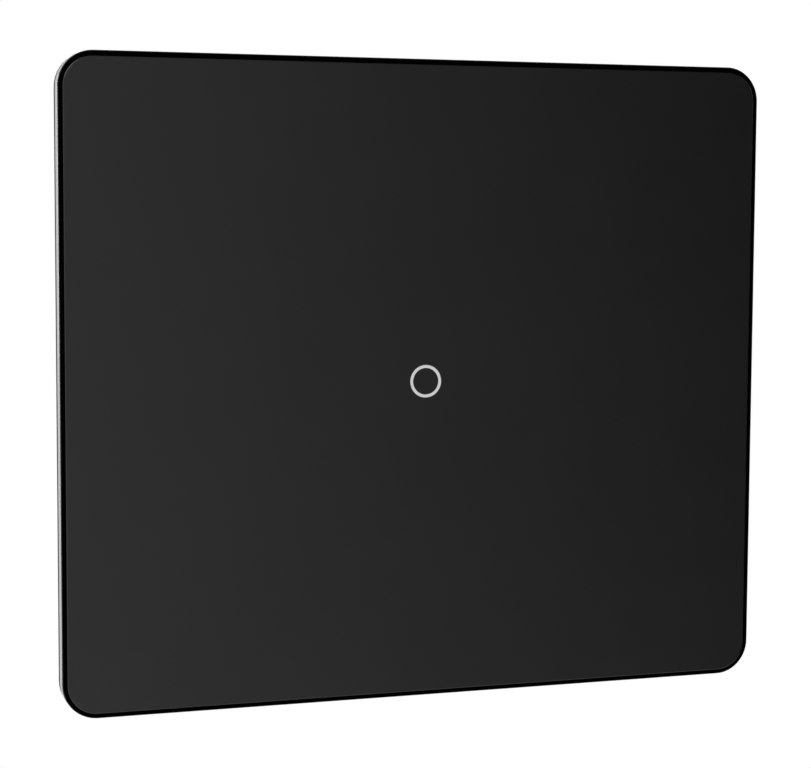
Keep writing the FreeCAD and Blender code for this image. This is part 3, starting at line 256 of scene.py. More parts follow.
# every area picks a number from 0 to 1: low ones have upright tracks, high ones level tracks, some copper
UPRIGHT_BELOW = 0.36
LEVEL_ABOVE = 0.68
COPPER_ABOUT, COPPER_WITHIN = 0.52, 0.12


def tracks(shader, direction):
    """Tracks of 1 on 0, side by side along X, Y or Z."""
    return shader.spread(shader.waves(TRACK_PITCH, direction), 0, 1, start=0.72, end=0.82)


def cells(shader, inputs, **settings):
    """Uneven cells that run straight through the board."""
    inputs = {"Vector": shader.place((1, 0.01, 1)), **inputs}
    return shader.node("ShaderNodeTexVoronoi", inputs, **settings).outputs


def board(name):
    """A circuit board: green lacquer over groups of tracks and copper areas, with bare tinned vias."""
    shader = Shader(name)
    areas = cells(shader, {"Scale": AREA_CELLS}, distance="CHEBYCHEV")
    pick = shader.node("ShaderNodeSeparateColor", {0: areas["Color"]}).outputs[0]
    upright = shader.math("MULTIPLY", tracks(shader, "X"), shader.math("LESS_THAN", pick, UPRIGHT_BELOW))
    level = shader.math("MULTIPLY", tracks(shader, "Z"), shader.math("GREATER_THAN", pick, LEVEL_ABOVE))
    border = shader.spread(areas["Distance"], 1, 0, start=0.40, end=0.43)
    away = shader.math("ABSOLUTE", shader.math("SUBTRACT", pick, COPPER_ABOUT))
    copper = shader.math("MULTIPLY", border, shader.math("LESS_THAN", away, COPPER_WITHIN))
    raised = shader.math("MAXIMUM", shader.math("MAXIMUM", upright, level), copper)
    reach = cells(shader, {"Scale": VIA_CELLS, "Randomness": 0.8})["Distance"]
    via = shader.spread(reach, 1, 0, start=0.085, end=0.1)
    hole = shader.spread(reach, 1, 0, start=0.035, end=0.045)
    weave = shader.spread(shader.noise(size=0.25, detail=2.0, stretch=(1, 1, 0.3)), 0, 1)
    bare = shader.tint(weave, (0.004, 0.050, 0.020, 1), (0.006, 0.062, 0.026, 1))
    lacquer = shader.tint(raised, bare, (0.014, 0.125, 0.052, 1))
    tinned = shader.tint(via, lacquer, (0.60, 0.59, 0.55, 1))
    # a via's hole is painted near black: painted shade in a hole that is only a dent
    base = shader.tint(hole, tinned, (0.006, 0.006, 0.006, 1))
    rough = shader.spread(shader.noise(size=1.0), 0.24, 0.36)
    height = shader.math("SUBTRACT", shader.math("MAXIMUM", raised, via), hole)
    normal = shader.bump(height, depth=0.035)
    shader.set(Base_Color=base, Roughness=rough, Normal=normal, Metallic=via)


def wound(name, colour, pitch, direction):
    """Wire laid in close turns along X, Y or Z."""
    shader = Shader(name)
    turns = shader.waves(pitch, direction, Distortion=0.12, Detail=0.0)
    # the dark between the turns is painted shade where the wires meet
    base = shader.tint(turns, shade(colour, 0.35), shade(colour, 1.15))
    rough = shader.spread(shader.noise(size=1.0), 0.25, 0.4)
    shader.set(Base_Color=base, Roughness=rough, Normal=shader.bump(turns, depth=0.05), Metallic=0.7)


def threaded(name, colour, roughness, front, back, pitch):
    """Plated steel with a thread where the piece lies between two levels along Y, in millimetres."""
    shader = Shader(name)
    level = shader.node("ShaderNodeSeparateXYZ", {0: shader.place()}).outputs["Y"]
    past_front = shader.math("GREATER_THAN", level, front)
    inside = shader.math("MULTIPLY", past_front, shader.math("LESS_THAN", level, back))
    thread = shader.math("MULTIPLY", shader.waves(pitch, "Y"), inside)
    lines = shader.noise(size=0.15, detail=4.0, stretch=(1, 1, 0.1))
    # the thread's crests are painted lighter than its grooves and the rest: a painted highlight on the
    # crests, painted shade in the grooves
    body = shader.tint(thread, shade(colour, 0.8), shade(colour, 1.0))
    base = worn(shader, body, shade(colour, 1.35), amount=0.6)
    rough = shader.spread(lines, roughness - 0.06, roughness + 0.1)
    normal = shader.bump(thread, depth=0.2, normal=shader.bump(lines, depth=0.006))
    shader.set(Base_Color=base, Roughness=rough, Normal=normal, Metallic=1.0)


def soldered(name):
    """Solder: bright and smooth, with dull patches and a little pitting."""
    shader = Shader(name)
    patch = shader.noise(size=0.5)
    base = shader.tint(shader.spread(patch, 0, 1), (0.58, 0.58, 0.57, 1), (0.74, 0.74, 0.73, 1))
    rough = shader.spread(patch, 0.18, 0.38)
    shader.set(Base_Color=base, Roughness=rough, Normal=shader.bump(patch, depth=0.01), Metallic=1.0)


def taped(name, colour):
    """Tape or sleeve of glossy polyester, with soft bands and small wrinkles."""
    shader = Shader(name)
    wrinkle = shader.noise(size=1.1, stretch=(1, 1, 0.3))
    bands = shader.waves(pitch=5.236, direction="X", Distortion=1.5)
    base = shader.tint(bands, shade(colour, 0.8), shade(colour, 1.1))
    rough = shader.spread(wrinkle, 0.16, 0.32)
    shader.set(Base_Color=base, Roughness=rough, Normal=shader.bump(wrinkle, depth=0.05))


# lines drawn out along an axis
ALONG_X, ALONG_Y, ALONG_Z = (0.08, 1, 1), (1, 0.08, 1), (1, 1, 0.08)

# the finishes of the record's material slots
glass_face("black_glass")
ring_light("ring_mark")
moulded("black_film", (0.010, 0.010, 0.010), 0.45, grain=0.3, depth=0.004)
anodised("rim_metal")
moulded("dark_plastic", (0.030, 0.030, 0.031), 0.55, grain=0.2, depth=0.016, gloss=0.02)
plated("nickel", (0.75, 0.73, 0.70), 0.18)
rolled("pin_steel", (0.60, 0.60, 0.60), 0.24, (1, 0.05, 1), streak=0.12)
rolled(
    "frame_steel", (0.60, 0.61, 0.62), 0.34, (0.05, 1, 1), streak=0.25, coat=0.1, relief=0.0015, dull=0.025
)
moulded("cover_plastic", (0.020, 0.020, 0.021), 0.5, grain=0.25, depth=0.016)
moulded("housing_plastic", (0.58, 0.58, 0.56), 0.5, grain=0.24, depth=0.014, cloud=0.025, rub=1.12)
threaded("screw_steel", (0.60, 0.585, 0.53), 0.3, front=-2.0, back=20.0, pitch=0.6)
board("circuit_board")
plated("spring_wire", (0.70, 0.70, 0.70), 0.2)
clear("clear_plastic")
cast("light_die", (0.85, 0.80, 0.50), 0.3, speck=0.2, depth=0.006)
cast("chip_resin", (0.028, 0.028, 0.029), 0.5, speck=0.12, depth=0.01)
cast("chip_ceramic", (0.42, 0.33, 0.23), 0.4, speck=0.15, depth=0.006)
rolled("switch_metal", (0.62, 0.62, 0.61), 0.3, ALONG_Z, streak=0.12)
rolled("tin_plate", (0.66, 0.66, 0.64), 0.3, ALONG_X, streak=0.2)
moulded("connector_plastic", (0.018, 0.018, 0.018), 0.42, grain=0.15, depth=0.006)
moulded("spacer_nylon", (0.72, 0.70, 0.64), 0.45, grain=0.2, depth=0.006, cloud=0.03, rub=1.1)
moulded("relay_plastic", (0.022, 0.022, 0.025), 0.32, grain=0.3, depth=0.004)
wound("coil_winding", (0.62, 0.22, 0.08), pitch=0.18, direction="X")
rolled("relay_iron", (0.52, 0.51, 0.48), 0.34, ALONG_Y, streak=0.15)
rolled("blade_bronze", (0.66, 0.42, 0.18), 0.28, ALONG_Y, streak=0.12)
plated("contact_silver", (0.80, 0.79, 0.76), 0.25)
cast("ferrite", (0.045, 0.045, 0.047), 0.5, speck=0.25, depth=0.02)
taped("coil_tape", (0.72, 0.50, 0.04))
taped("capacitor_sleeve", (0.018, 0.026, 0.060))
cast("fuse_resin", (0.22, 0.09, 0.04), 0.35, speck=0.5, depth=0.01)
cast("disc_resin", (0.03, 0.12, 0.42), 0.28, speck=0.8, depth=0.03)
rolled("bar_brass", (0.74, 0.58, 0.30), 0.28, ALONG_Y, streak=0.15)
moulded("block_plastic", (0.075, 0.075, 0.078), 0.5, grain=0.22, depth=0.014)
rolled("clamp_steel", (0.62, 0.60, 0.50), 0.3, (1, 1, 0.1), streak=0.2)
moulded("button_plastic", (0.42, 0.42, 0.42), 0.42, grain=0.15, depth=0.006)

# the finishes of details that have no slot of their own
glass_border("black_border", (0.0006, 0.0006, 0.0006))
# the lip along the glass's outer edge is lighter: a painted highlight, in a finish that doesn't reflect
glass_border("painted_highlight_lip", (0.03, 0.03, 0.03))
soldered("solder")
rolled("can_top", (0.66, 0.66, 0.67), 0.3, (0.3, 1, 1), streak=0.12)
# the scored cross is a dark sheet on the lid: painted shade in its grooves
rolled("can_score_painted_shade", (0.22, 0.22, 0.23), 0.4, (0.3, 1, 1), streak=0.12)
taped("sleeve_stripe", (0.42, 0.46, 0.52))
moulded("light_body", (0.70, 0.70, 0.67), 0.42, grain=0.15, depth=0.004, cloud=0.03, rub=1.1)
moulded("bobbin_plastic", (0.30, 0.27, 0.22), 0.42, grain=0.2, depth=0.006)
wound("choke_wire", (0.60, 0.20, 0.07), pitch=0.3, direction="Y")


# Meshes

SLOTS = {part["node"]: part["material_slot"] for part in frame["record"]["subparts"]}
BODIES = {node: body for body, nodes in frame["record"]["behaviour"]["bodies"].items() for node in nodes}

# shading breaks at bends over CREASE, those over SHARP are rounded off, those under FLAT are no bends
CREASE = math.radians(28)
SHARP = math.radians(32)
FLAT = math.radians(0.3)
# points closer than this are one point
WELD = 0.0005 * MM


def dress(node):
    """Give a CAD node that stays in view its finish."""
    mesh = frame["nodes"][node].data
    mesh.materials.clear()
    mesh.materials.append(LOOKS[SLOTS[node]])


def box_of(node):
    """A node's corners in millimetres."""
    low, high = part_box(node)
    return low / MM, high / MM


def stand_in(name, mesh, node):
    """A piece that is shown in a node's place, in the node's finish unless the mesh has its own."""
    piece = bpy.data.objects.new(name, mesh)
    bpy.context.scene.collection.objects.link(piece)
    if not mesh.materials:
        mesh.materials.append(LOOKS[SLOTS[node]])
    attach(piece, BODIES[node])
    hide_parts(node)
    return piece


def flat_normals(piece):
    """Keep flat faces flat beside their rounded edges."""
    weighted = piece.modifiers.new("flat_faces", "WEIGHTED_NORMAL")
    weighted.keep_sharp = True
    weighted.weight = 100


def finish_mesh(name, bm, edges=()):
    """Turn a mesh being built into one that can be shown, with the faces that are worn edges marked."""
    bm.faces.index_update()
    marked = {face.index for face in edges}
    mesh = bpy.data.meshes.new(name)
    bm.to_mesh(mesh)
    bm.free()
    attribute = mesh.attributes.new("edge", "FLOAT", "FACE")
    attribute.data.foreach_set("value", [1.0 if i in marked else 0.0 for i in range(len(mesh.polygons))])
    mesh.shade_smooth()
    mesh.set_sharp_from_angle(angle=CREASE)
    return mesh


def soften(bm, edges, width):
    """Round edges by a width in millimetres, and give back the new faces."""
    made = bmesh.ops.bevel(bm, geom=edges, offset=width * MM, segments=2, profile=0.5, affect="EDGES")
    return made["faces"]


def round_off(node, width):
    """Show a CAD node with its sharp edges rounded by a width in millimetres."""
    bm = bmesh.new()
    bm.from_mesh(frame["nodes"][node].data)
    bmesh.ops.remove_doubles(bm, verts=bm.verts, dist=WELD)
    bmesh.ops.dissolve_limit(bm, angle_limit=FLAT, verts=bm.verts, edges=bm.edges)
    bm.normal_update()
    sharp = [edge for edge in bm.edges if len(edge.link_faces) == 2 and edge.calc_face_angle(0.0) > SHARP]
    rounded = soften(bm, sharp, width)
    piece = stand_in("rounded_" + node, finish_mesh("rounded_" + node, bm, rounded), node)
    flat_normals(piece)
    return piece


def ring(radius, level, steps, centre=(0, 0)):
    """A circle across the Y axis, in millimetres."""
    x, z = centre
    turns = [2 * math.pi * step / steps for step in range(steps)]
    return [Vector((x + radius * math.cos(turn), level, z + radius * math.sin(turn))) for turn in turns]


def skin(bm, loops, closed=False):
    """Join loops of points in millimetres by quads, and give back their vertices and the faces."""
    rows = [[bm.verts.new(point * MM) for point in loop] for loop in loops]
    pairs = list(zip(rows, rows[1:])) + ([(rows[-1], rows[0])] if closed else [])
    bands = []
    for near, far in pairs:
        quads = zip(near, near[1:] + near[:1], far[1:] + far[:1], far)
        bands.append([bm.faces.new(quad) for quad in quads])
    return rows, bands


# Front panel, in millimetres

PANEL_CORNER = 4.7
CORNER_STEPS = 20
RING_OUTSIDE = 2.24
RING_INSIDE = 1.81
RING_STEPS = 96
FRONT = (0, -1, 0)
# the black border is a little narrower at the left and below than at the right and above
FACE_SHIFT = Vector((-0.12, 0, -0.035))


def outline(inset, level, box):
    """The panel's rectangle with round corners, drawn in by an inset, at a level along Y."""
    low, high = box
    radius = PANEL_CORNER - inset
    corners = ((high.x, low.z), (high.x, high.z), (low.x, high.z), (low.x, low.z))
    points = []
    for quarter, (x, z) in enumerate(corners):
        centre_x = x - math.copysign(PANEL_CORNER, x)
        centre_z = z - math.copysign(PANEL_CORNER, z)
        for step in range(CORNER_STEPS + 1):
            turn = math.radians(-90 + 90 * quarter + 90 * step / CORNER_STEPS)
            across = centre_x + radius * math.cos(turn)
            up = centre_z + radius * math.sin(turn)
            points.append(Vector((across, level, up)))
    return points


def fill_between(bm, outer, inner):
    """Fill the flat front between two closed rows of vertices."""
    edges = []
    for row in (outer, inner):
        for pair in zip(row, row[1:] + row[:1]):
            edges.append(bm.edges.get(pair) or bm.edges.new(pair))
    bmesh.ops.triangle_fill(bm, use_beauty=True, use_dissolve=False, edges=edges, normal=FRONT)


def glass_panel():
    """The glass: a flat face, a black slope with a lip whose lighter colour is a painted highlight, a
    straight side and a ring groove.
    """
    box = box_of("glass_panel")
    front = box[0].y
    groove = box_of("ring_inlay")[1].y
    # the lip's lighter finish is a painted highlight on the glass's outer edge
    face, border, lip = range(3)
    # inset, depth, and the finish from there to the next point
    profile = [
        (0.86, 0.0, face),
        (0.80, 0.007, face),
        (0.76, 0.025, border),
        (0.40, 0.25, border),
        (0.10, 0.4375, lip),
        (0.07, 0.456, lip),
        (0.015, 0.50, lip),
        (0.0, 0.54, border),
        (0.0, 0.66, border),
        (0.012, 0.69, border),
        (0.04, 0.70, border),
    ]
    looks = [look for _, _, look in profile]
    loops = [outline(inset, front + depth, box) for inset, depth, _ in profile]
    shifted = looks.index(border) + 1
    loops[:shifted] = [[point + FACE_SHIFT for point in loop] for loop in loops[:shifted]]
    well = [
        ring(RING_OUTSIDE, front, RING_STEPS),
        ring(RING_OUTSIDE, groove, RING_STEPS),
        ring(RING_INSIDE, groove, RING_STEPS),
        ring(RING_INSIDE, front, RING_STEPS),
    ]
    bm = bmesh.new()
    rows, bands = skin(bm, loops)
    circles, _ = skin(bm, well)
    fill_between(bm, rows[0], circles[0])
    bm.faces.new(circles[-1])
    bm.faces.new(rows[-1])
    for band, look in zip(bands, looks):
        for quad in band:
            quad.material_index = look
    bmesh.ops.recalc_face_normals(bm, faces=bm.faces)
    mesh = finish_mesh("glass_plate", bm)
    for name in ("black_glass", "black_border", "painted_highlight_lip"):
        mesh.materials.append(LOOKS[name])
    flat_normals(stand_in("glass_plate", mesh, "glass_panel"))


def ring_mark():
    """The pale ring that fills the groove, with its edges just rounded."""
    low, high = box_of("ring_inlay")
    front, back = low.y, high.y
    soft = 0.03
    loops = [
        ring(RING_OUTSIDE, back, RING_STEPS),
        ring(RING_OUTSIDE, front + soft, RING_STEPS),
        ring(RING_OUTSIDE - soft, front, RING_STEPS),
        ring(RING_INSIDE + soft, front, RING_STEPS),
        ring(RING_INSIDE, front + soft, RING_STEPS),
        ring(RING_INSIDE, back, RING_STEPS),
    ]
    bm = bmesh.new()
    skin(bm, loops, closed=True)
    bmesh.ops.recalc_face_normals(bm, faces=bm.faces)
    stand_in("ring_mark", finish_mesh("ring_mark", bm), "ring_inlay")


def metal_rim():
    """The aluminium rim: a frame with polished edges."""
    box = box_of("panel_rim")
    front, back = box[0].y, box[1].y
    width, edge, soft = 2.4, 0.12, 0.035
    section = [
        (edge, front),
        (soft, front + soft),
        (0.0, front + edge),
        (0.0, back - edge),
        (soft, back - soft),
        (edge, back),
        (width - edge, back),
        (width, back - edge),
        (width, front + edge),
        (width - edge, front),
    ]
    # the bands of the section that are its rounded edges
    rounded = (0, 1, 3, 4, 6, 8)
    bm = bmesh.new()
    _, bands = skin(bm, [outline(inset, level, box) for inset, level in section], closed=True)
    bmesh.ops.recalc_face_normals(bm, faces=bm.faces)
    polished = [quad for number in rounded for quad in bands[number]]
    flat_normals(stand_in("metal_rim", finish_mesh("metal_rim", bm, polished), "panel_rim"))


# Small parts, put together from simple shapes, in millimetres

ROUND_STEPS = 48


class Assembly:
    """One mesh that is put together from simple shapes, each in a finish that is given by name."""

    def __init__(self, name):
        self.name = name
        self.bm = bmesh.new()
        self.looks = []

    def add(self, shape, look):
        """Take in the faces of a shape, in a finish."""
        if look not in self.looks:
            self.looks.append(look)
        for face in shape.faces:
            face.material_index = self.looks.index(look)
        bmesh.ops.recalc_face_normals(shape, faces=shape.faces)
        taken = bpy.data.meshes.new(self.name)
        shape.to_mesh(taken)
        shape.free()
        self.bm.from_mesh(taken)
        bpy.data.meshes.remove(taken)

    def box(self, low, high, look, soft=0.0):
        """A box between two corners, its edges rounded by a width."""
        shape = bmesh.new()
        bmesh.ops.create_cube(shape, size=1.0)
        for vertex in shape.verts:
            place = [(low[i] + high[i]) / 2 + vertex.co[i] * (high[i] - low[i]) for i in range(3)]
            vertex.co = Vector(place) * MM
        if soft:
            soften(shape, shape.edges, soft)
        self.add(shape, look)

    def solid(self, loops, look):
        """A closed shape through loops of as many points each."""
        shape = bmesh.new()
        rows, _ = skin(shape, loops)
        shape.faces.new(rows[0])
        shape.faces.new(rows[-1])
        self.add(shape, look)

    def turned(self, centre, profile, look, steps=ROUND_STEPS):
        """A round shape about a line along Y, through (radius, level) points."""
        self.solid([ring(radius, level, steps, centre) for radius, level in profile], look)

    def strip(self, points, across, look):
        """A flat outline pulled along a vector."""
        self.solid([points, [point + across for point in points]], look)

    def mesh(self):
        """The finished mesh."""
        made = finish_mesh(self.name, self.bm)
        for look in self.looks:
            made.materials.append(LOOKS[look])
        return made

    def show(self, node):
        """Show the mesh in a node's place."""
        flat_normals(stand_in(self.name, self.mesh(), node))


def loose_boxes(node):
    """The corners of each loose solid of a node, left to right."""
    bm = bmesh.new()
    bm.from_mesh(frame["nodes"][node].data)
    bmesh.ops.remove_doubles(bm, verts=bm.verts, dist=WELD)
    left = set(bm.verts)
    boxes = []
    while left:
        group = [left.pop()]
        for vertex in group:
            for edge in vertex.link_edges:
                other = edge.other_vert(vertex)
                if other in left:
                    left.remove(other)
                    group.append(other)
        low = Vector([min(vertex.co[i] for vertex in group) for i in range(3)])
        high = Vector([max(vertex.co[i] for vertex in group) for i in range(3)])
        boxes.append((low / MM, high / MM))
    bm.free()
    return sorted(boxes, key=lambda corners: (round(corners[0].x, 2), corners[0].z))


def can_score_painted_shade(parts, axis, radius, top):
    """The cross that is scored in the top of a capacitor's can: a thin dark sheet on the lid, painted shade
    in its grooves.
    """
    reach, half_width = radius - 1.2, 0.07
    middle = Vector((axis[0], top - 0.115, axis[1]))
    thickness = Vector((0, 0.012, 0))
    for wide, tall in ((reach, half_width), (half_width, reach)):
        size = Vector((wide, 0, tall))
        parts.box(middle - size, middle + size + thickness, "can_score_painted_shade")


def sleeve_stripe(parts, axis, radius, foot, top):
    """The pale stripe along the upper side of a capacitor's sleeve, which stands out a little."""
    x, z = axis
    out = radius + 0.02
    start, length = foot + 2.0, top - foot - 2.6
    half_turn, half_steps = math.radians(17), 3
    points = []
    for step in range(2 * half_steps + 1):
        turn = half_turn * step / half_steps - half_turn
        points.append(Vector((x - out * math.sin(turn), start, z + out * math.cos(turn))))
    points.append(Vector((x, start, z + 0.7 * radius)))
    parts.strip(points, Vector((0, length, 0)), "sleeve_stripe")


def capacitors(node):
    """Electrolytic capacitors: a sleeved can with a crimped foot, a pale stripe and a scored top."""
    parts = Assembly("sleeved_" + node)
    for low, high in loose_boxes(node):
        axis = ((low.x + high.x) / 2, (low.z + high.z) / 2)
        radius = (high.z - low.z) / 2
        foot, top = low.y, high.y
        sleeve = [
            (radius - 0.5, foot),
            (radius - 0.12, foot + 0.1),
            (radius, foot + 0.35),
            (radius, foot + 1.0),
            (radius - 0.26, foot + 1.3),
            (radius - 0.26, foot + 1.5),
            (radius, foot + 1.8),
            (radius, top - 0.45),
            (radius - 0.13, top - 0.13),
            (radius - 0.42, top),
            (radius - 0.72, top - 0.02),
            (radius - 0.80, top - 0.14),
        ]
        lid = [(radius - 0.76, top - 0.13), (radius - 1.0, top - 0.11), (0.02, top - 0.11)]
        parts.turned(axis, sleeve, "capacitor_sleeve")
        parts.turned(axis, lid, "can_top")
        can_score_painted_shade(parts, axis, radius, top)
        sleeve_stripe(parts, axis, radius, foot, top)
    parts.show(node)


# a fillet of solder beside a chip, as shares of its reach along the board and its rise
FILLET = [(0.0, 1.0), (0.3, 0.35), (1.0, 0.0), (0.0, 0.0)]
FILLET_REACH = 0.38
FILLET_RISE = 0.6
CAP_SHARE = 0.24
# the ceramic lies this much below its tinned ends
CERAMIC_INSET = Vector((0, 0.02, 0.02))


def chip_capacitors(node):
    """Ceramic chips with tinned ends, each in two fillets of solder on a board behind them."""
    parts = Assembly("tinned_" + node)
    for low, high in loose_boxes(node):
        size = high - low
        cap = CAP_SHARE * size.x
        ends = Vector((cap, 0, 0)) + CERAMIC_INSET
        parts.box(low + ends, high - ends, "chip_ceramic")
        for side, edge, start in ((-1, low.x, low.x), (1, high.x, high.x - cap)):
            parts.box((start, low.y, low.z), (start + cap, high.y, high.z), "solder", soft=0.06)
            reach, rise = side * FILLET_REACH, FILLET_RISE * size.y
            fillet = [Vector((edge + out * reach, high.y - up * rise, low.z)) for out, up in FILLET]
            parts.strip(fillet, Vector((0, 0, size.z)), "solder")
    parts.show(node)


def chip_leads(parts, box, board, rise, count, pitch, width):
    """Bent leads at both sides of a chip, down to a board. Rise, 1 or -1, is the way off the board."""
    low, high = box
    thick = 0.13
    shoulder = 0.5 * (high.y - low.y)
    # out from the chip's side, and up from the board
    profile = [
        (-0.05, shoulder),
        (0.28, shoulder),
        (0.42, thick),
        (0.85, thick),
        (0.85, 0.0),
        (0.32, 0.0),
        (0.2, shoulder - thick),
        (-0.05, shoulder - thick),
    ]
    first = (low.z + high.z - (count - 1) * pitch - width) / 2
    for side, edge in ((-1, low.x), (1, high.x)):
        for number in range(count):
            z = first + number * pitch
            points = [Vector((edge + side * out, board + rise * up, z)) for out, up in profile]
            parts.strip(points, Vector((0, 0, width)), "solder")


# a soldered pin, as shares of its radius: a hollow-sided cone from its foot to its tip
JOINT = [(1.0, -0.02), (0.8, 0.1), (0.5, 0.42), (0.36, 0.8), (0.3, 1.1), (0.12, 1.2)]
JOINT_STEPS = 14


def solder_joints(parts, columns, rows, board, radius):
    """Soldered pins in front of a board's level, where columns along X and rows along Z cross."""
    points = [(share * radius, board - height * radius) for share, height in JOINT]
    for x in columns:
        for z in rows:
            parts.turned((x, z), points, "solder", JOINT_STEPS)


HEADER_PINS = 6
HEADER_PITCH = 2.54
PIN_PLACES = [(number - (HEADER_PINS - 1) / 2) * HEADER_PITCH for number in range(HEADER_PINS)]


def touch_board_details(parts):
    """Leads and solder in front of the touch board."""
    front = box_of("touch_board")[0].y
    for box in loose_boxes("touch_chips"):
        chip_leads(parts, box, front, rise=-1, count=6, pitch=0.75, width=0.32)
    chip_leads(parts, box_of("pairing_switch"), front, rise=-1, count=2, pitch=2.6, width=0.6)
    low, high = box_of("pin_header")
    solder_joints(parts, PIN_PLACES, [(low.z + high.z) / 2], front, radius=0.7)


def main_board_details(parts):
    """The rectifier's leads behind the main board, and the soldered pins in front of it."""
    front, back = (corner.y for corner in box_of("main_board"))
    chip_leads(parts, box_of("rectifier"), back, rise=1, count=2, pitch=2.6, width=0.8)
    lead_share = 0.28
    for node in ("bulk_capacitor", "small_capacitors", "fuse", "surge_disc"):
        for low, high in loose_boxes(node):
            middle, apart = (low + high) / 2, lead_share * (high.x - low.x)
            solder_joints(parts, [middle.x - apart, middle.x + apart], [middle.z], front, radius=0.75)
    # how far pins stand inside the outline of their piece
    bar_inset = 0.8
    for low, high in loose_boxes("terminal_bars"):
        solder_joints(parts, [(low.x + high.x) / 2], [high.z - bar_inset], front, radius=1.0)
    left_inset, right_inset, end_inset = 2.4, 2.6, 2.2
    low, high = box_of("relay_case")
    columns = [low.x + left_inset, high.x - right_inset]
    solder_joints(parts, columns, [low.z + end_inset, high.z - end_inset], front, radius=0.85)
    side_inset, bottom_inset, top_inset = 1.0, 1.0, 0.6
    low, high = box_of("transformer_coil")
    columns = [low.x + side_inset, (low.x + high.x) / 2, high.x - side_inset]
    solder_joints(parts, columns, [low.z + bottom_inset, high.z - top_inset], front, radius=0.65)


def leads_and_solder():
    """One piece with the leads and solder on both boards, which takes no node's place."""
    parts = Assembly("leads_and_solder")
    touch_board_details(parts)
    main_board_details(parts)
    piece = bpy.data.objects.new("leads_and_solder", parts.mesh())
    bpy.context.scene.collection.objects.link(piece)
    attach(piece, "module")
    flat_normals(piece)


def header():
    """The pin header: a plastic strip notched between the pins, and square pins with pointed ends."""
    low, high = box_of("pin_header")
    half_pitch, half_pin = HEADER_PITCH / 2, 0.32
    point_length = 0.45
    strip_back, tip = low.y + 2.5, high.y - point_length
    middle = (low.z + high.z) / 2
    bottom = middle - half_pin
    parts = Assembly("pointed_pin_header")
    for x in PIN_PLACES:
        left, right = x - half_pin, x + half_pin
        strip_low = (x - half_pitch, low.y, low.z)
        strip_high = (x + half_pitch, strip_back, high.z)
        parts.box(strip_low, strip_high, "connector_plastic", soft=0.3)
        parts.box((left, strip_back - point_length, bottom), (right, tip, middle + half_pin), "solder")
        point = [
            Vector((left, tip, bottom)),
            Vector((right, tip, bottom)),
            Vector((x + half_pin / 2, high.y, bottom)),
            Vector((x - half_pin / 2, high.y, bottom)),
        ]
        parts.strip(point, Vector((0, 0, 2 * half_pin)), "solder")
    parts.show("pin_header")


def wound_choke():
    """The choke: a ferrite drum with wire in its waist."""
    low, high = box_of("choke")
    middle = (low + high) / 2
    axis = (middle.x, middle.z)
    radius = (high.x - low.x) / 2
    flange = 0.9
    parts = Assembly("wound_choke")
    for start, end in ((low.y, low.y + flange), (high.y - flange, high.y)):
        profile = [
            (radius - 0.2, start),
            (radius - 0.06, start + 0.06),
            (radius, start + 0.2),
            (radius, end - 0.2),
            (radius - 0.06, end - 0.06),
            (radius - 0.2, end),
        ]
        parts.turned(axis, profile, "ferrite")
    waist = [
        (radius - 0.55, low.y + flange - 0.05),
        (radius - 0.45, middle.y),
        (radius - 0.55, high.y - flange + 0.05),
    ]
    parts.turned(axis, waist, "choke_wire")
    parts.show("choke")


def light_tube():
    """The light tube: a domed front, a rounded shoulder and a bore from behind."""
    low, high = box_of("light_tube")
    front, back = low.y, high.y
    radius, bore, nose = 2.6, 1.7, 0.9
    dome_radius, dome_height, dome_steps = 2.25, 0.3, 6
    profile = [(0.05, front)]
    for step in range(1, dome_steps + 1):
        share = step / dome_steps
        profile.append((share * dome_radius, front + dome_height * share * share))
    profile += [
        (radius - 0.12, front + 0.42),
        (radius, front + 0.65),
        (radius, back - 0.2),
        (radius - 0.2, back),
        (bore + 0.1, back),
        (bore, back - 0.1),
        (bore, front + nose + 0.2),
        (bore - 0.2, front + nose),
        (0.05, front + nose),
    ]
    parts = Assembly("domed_light_tube")
    parts.turned((0, 0), profile, "clear_plastic", steps=64)
    parts.show("light_tube")


def indicator():
    """The indicator light: a pale body with tinned ends and a domed yellow window in front."""
    low, high = box_of("indicator_light")
    front = low.y
    face = front + 0.08
    end, soft = 0.25, 0.04
    parts = Assembly("windowed_indicator_light")
    parts.box((low.x + end, face, low.z), (high.x - end, high.y, high.z), "light_body", soft)
    for start in (low.x, high.x - end):
        parts.box((start, face + end, low.z), (start + end, high.y, high.z), "solder", soft)
    window = [(0.52, front + 0.1), (0.5, front + 0.05), (0.3, front + 0.01), (0.02, front)]
    parts.turned((0, 0), window, "light_die", steps=32)
    parts.show("indicator_light")


# how far the wire on the relay's coil fills its flanges
WIRE_SHARE = 0.9


def relay_coil():
    """The relay's coil: copper wire between the flanges of a plastic bobbin."""
    mesh = round_off("relay_coil", 0.1).data
    mesh.materials.append(LOOKS["bobbin_plastic"])
    low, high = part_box("relay_coil")
    axis = (low + high) / 2
    wire_radius = WIRE_SHARE * (high.z - low.z) / 2
    for face in mesh.polygons:
        out = math.hypot(face.center.y - axis.y, face.center.z - axis.z)
        faces_sideways = abs(face.normal.x) > 0.5
        if out > wire_radius or faces_sideways:
            face.material_index = 1


# Build

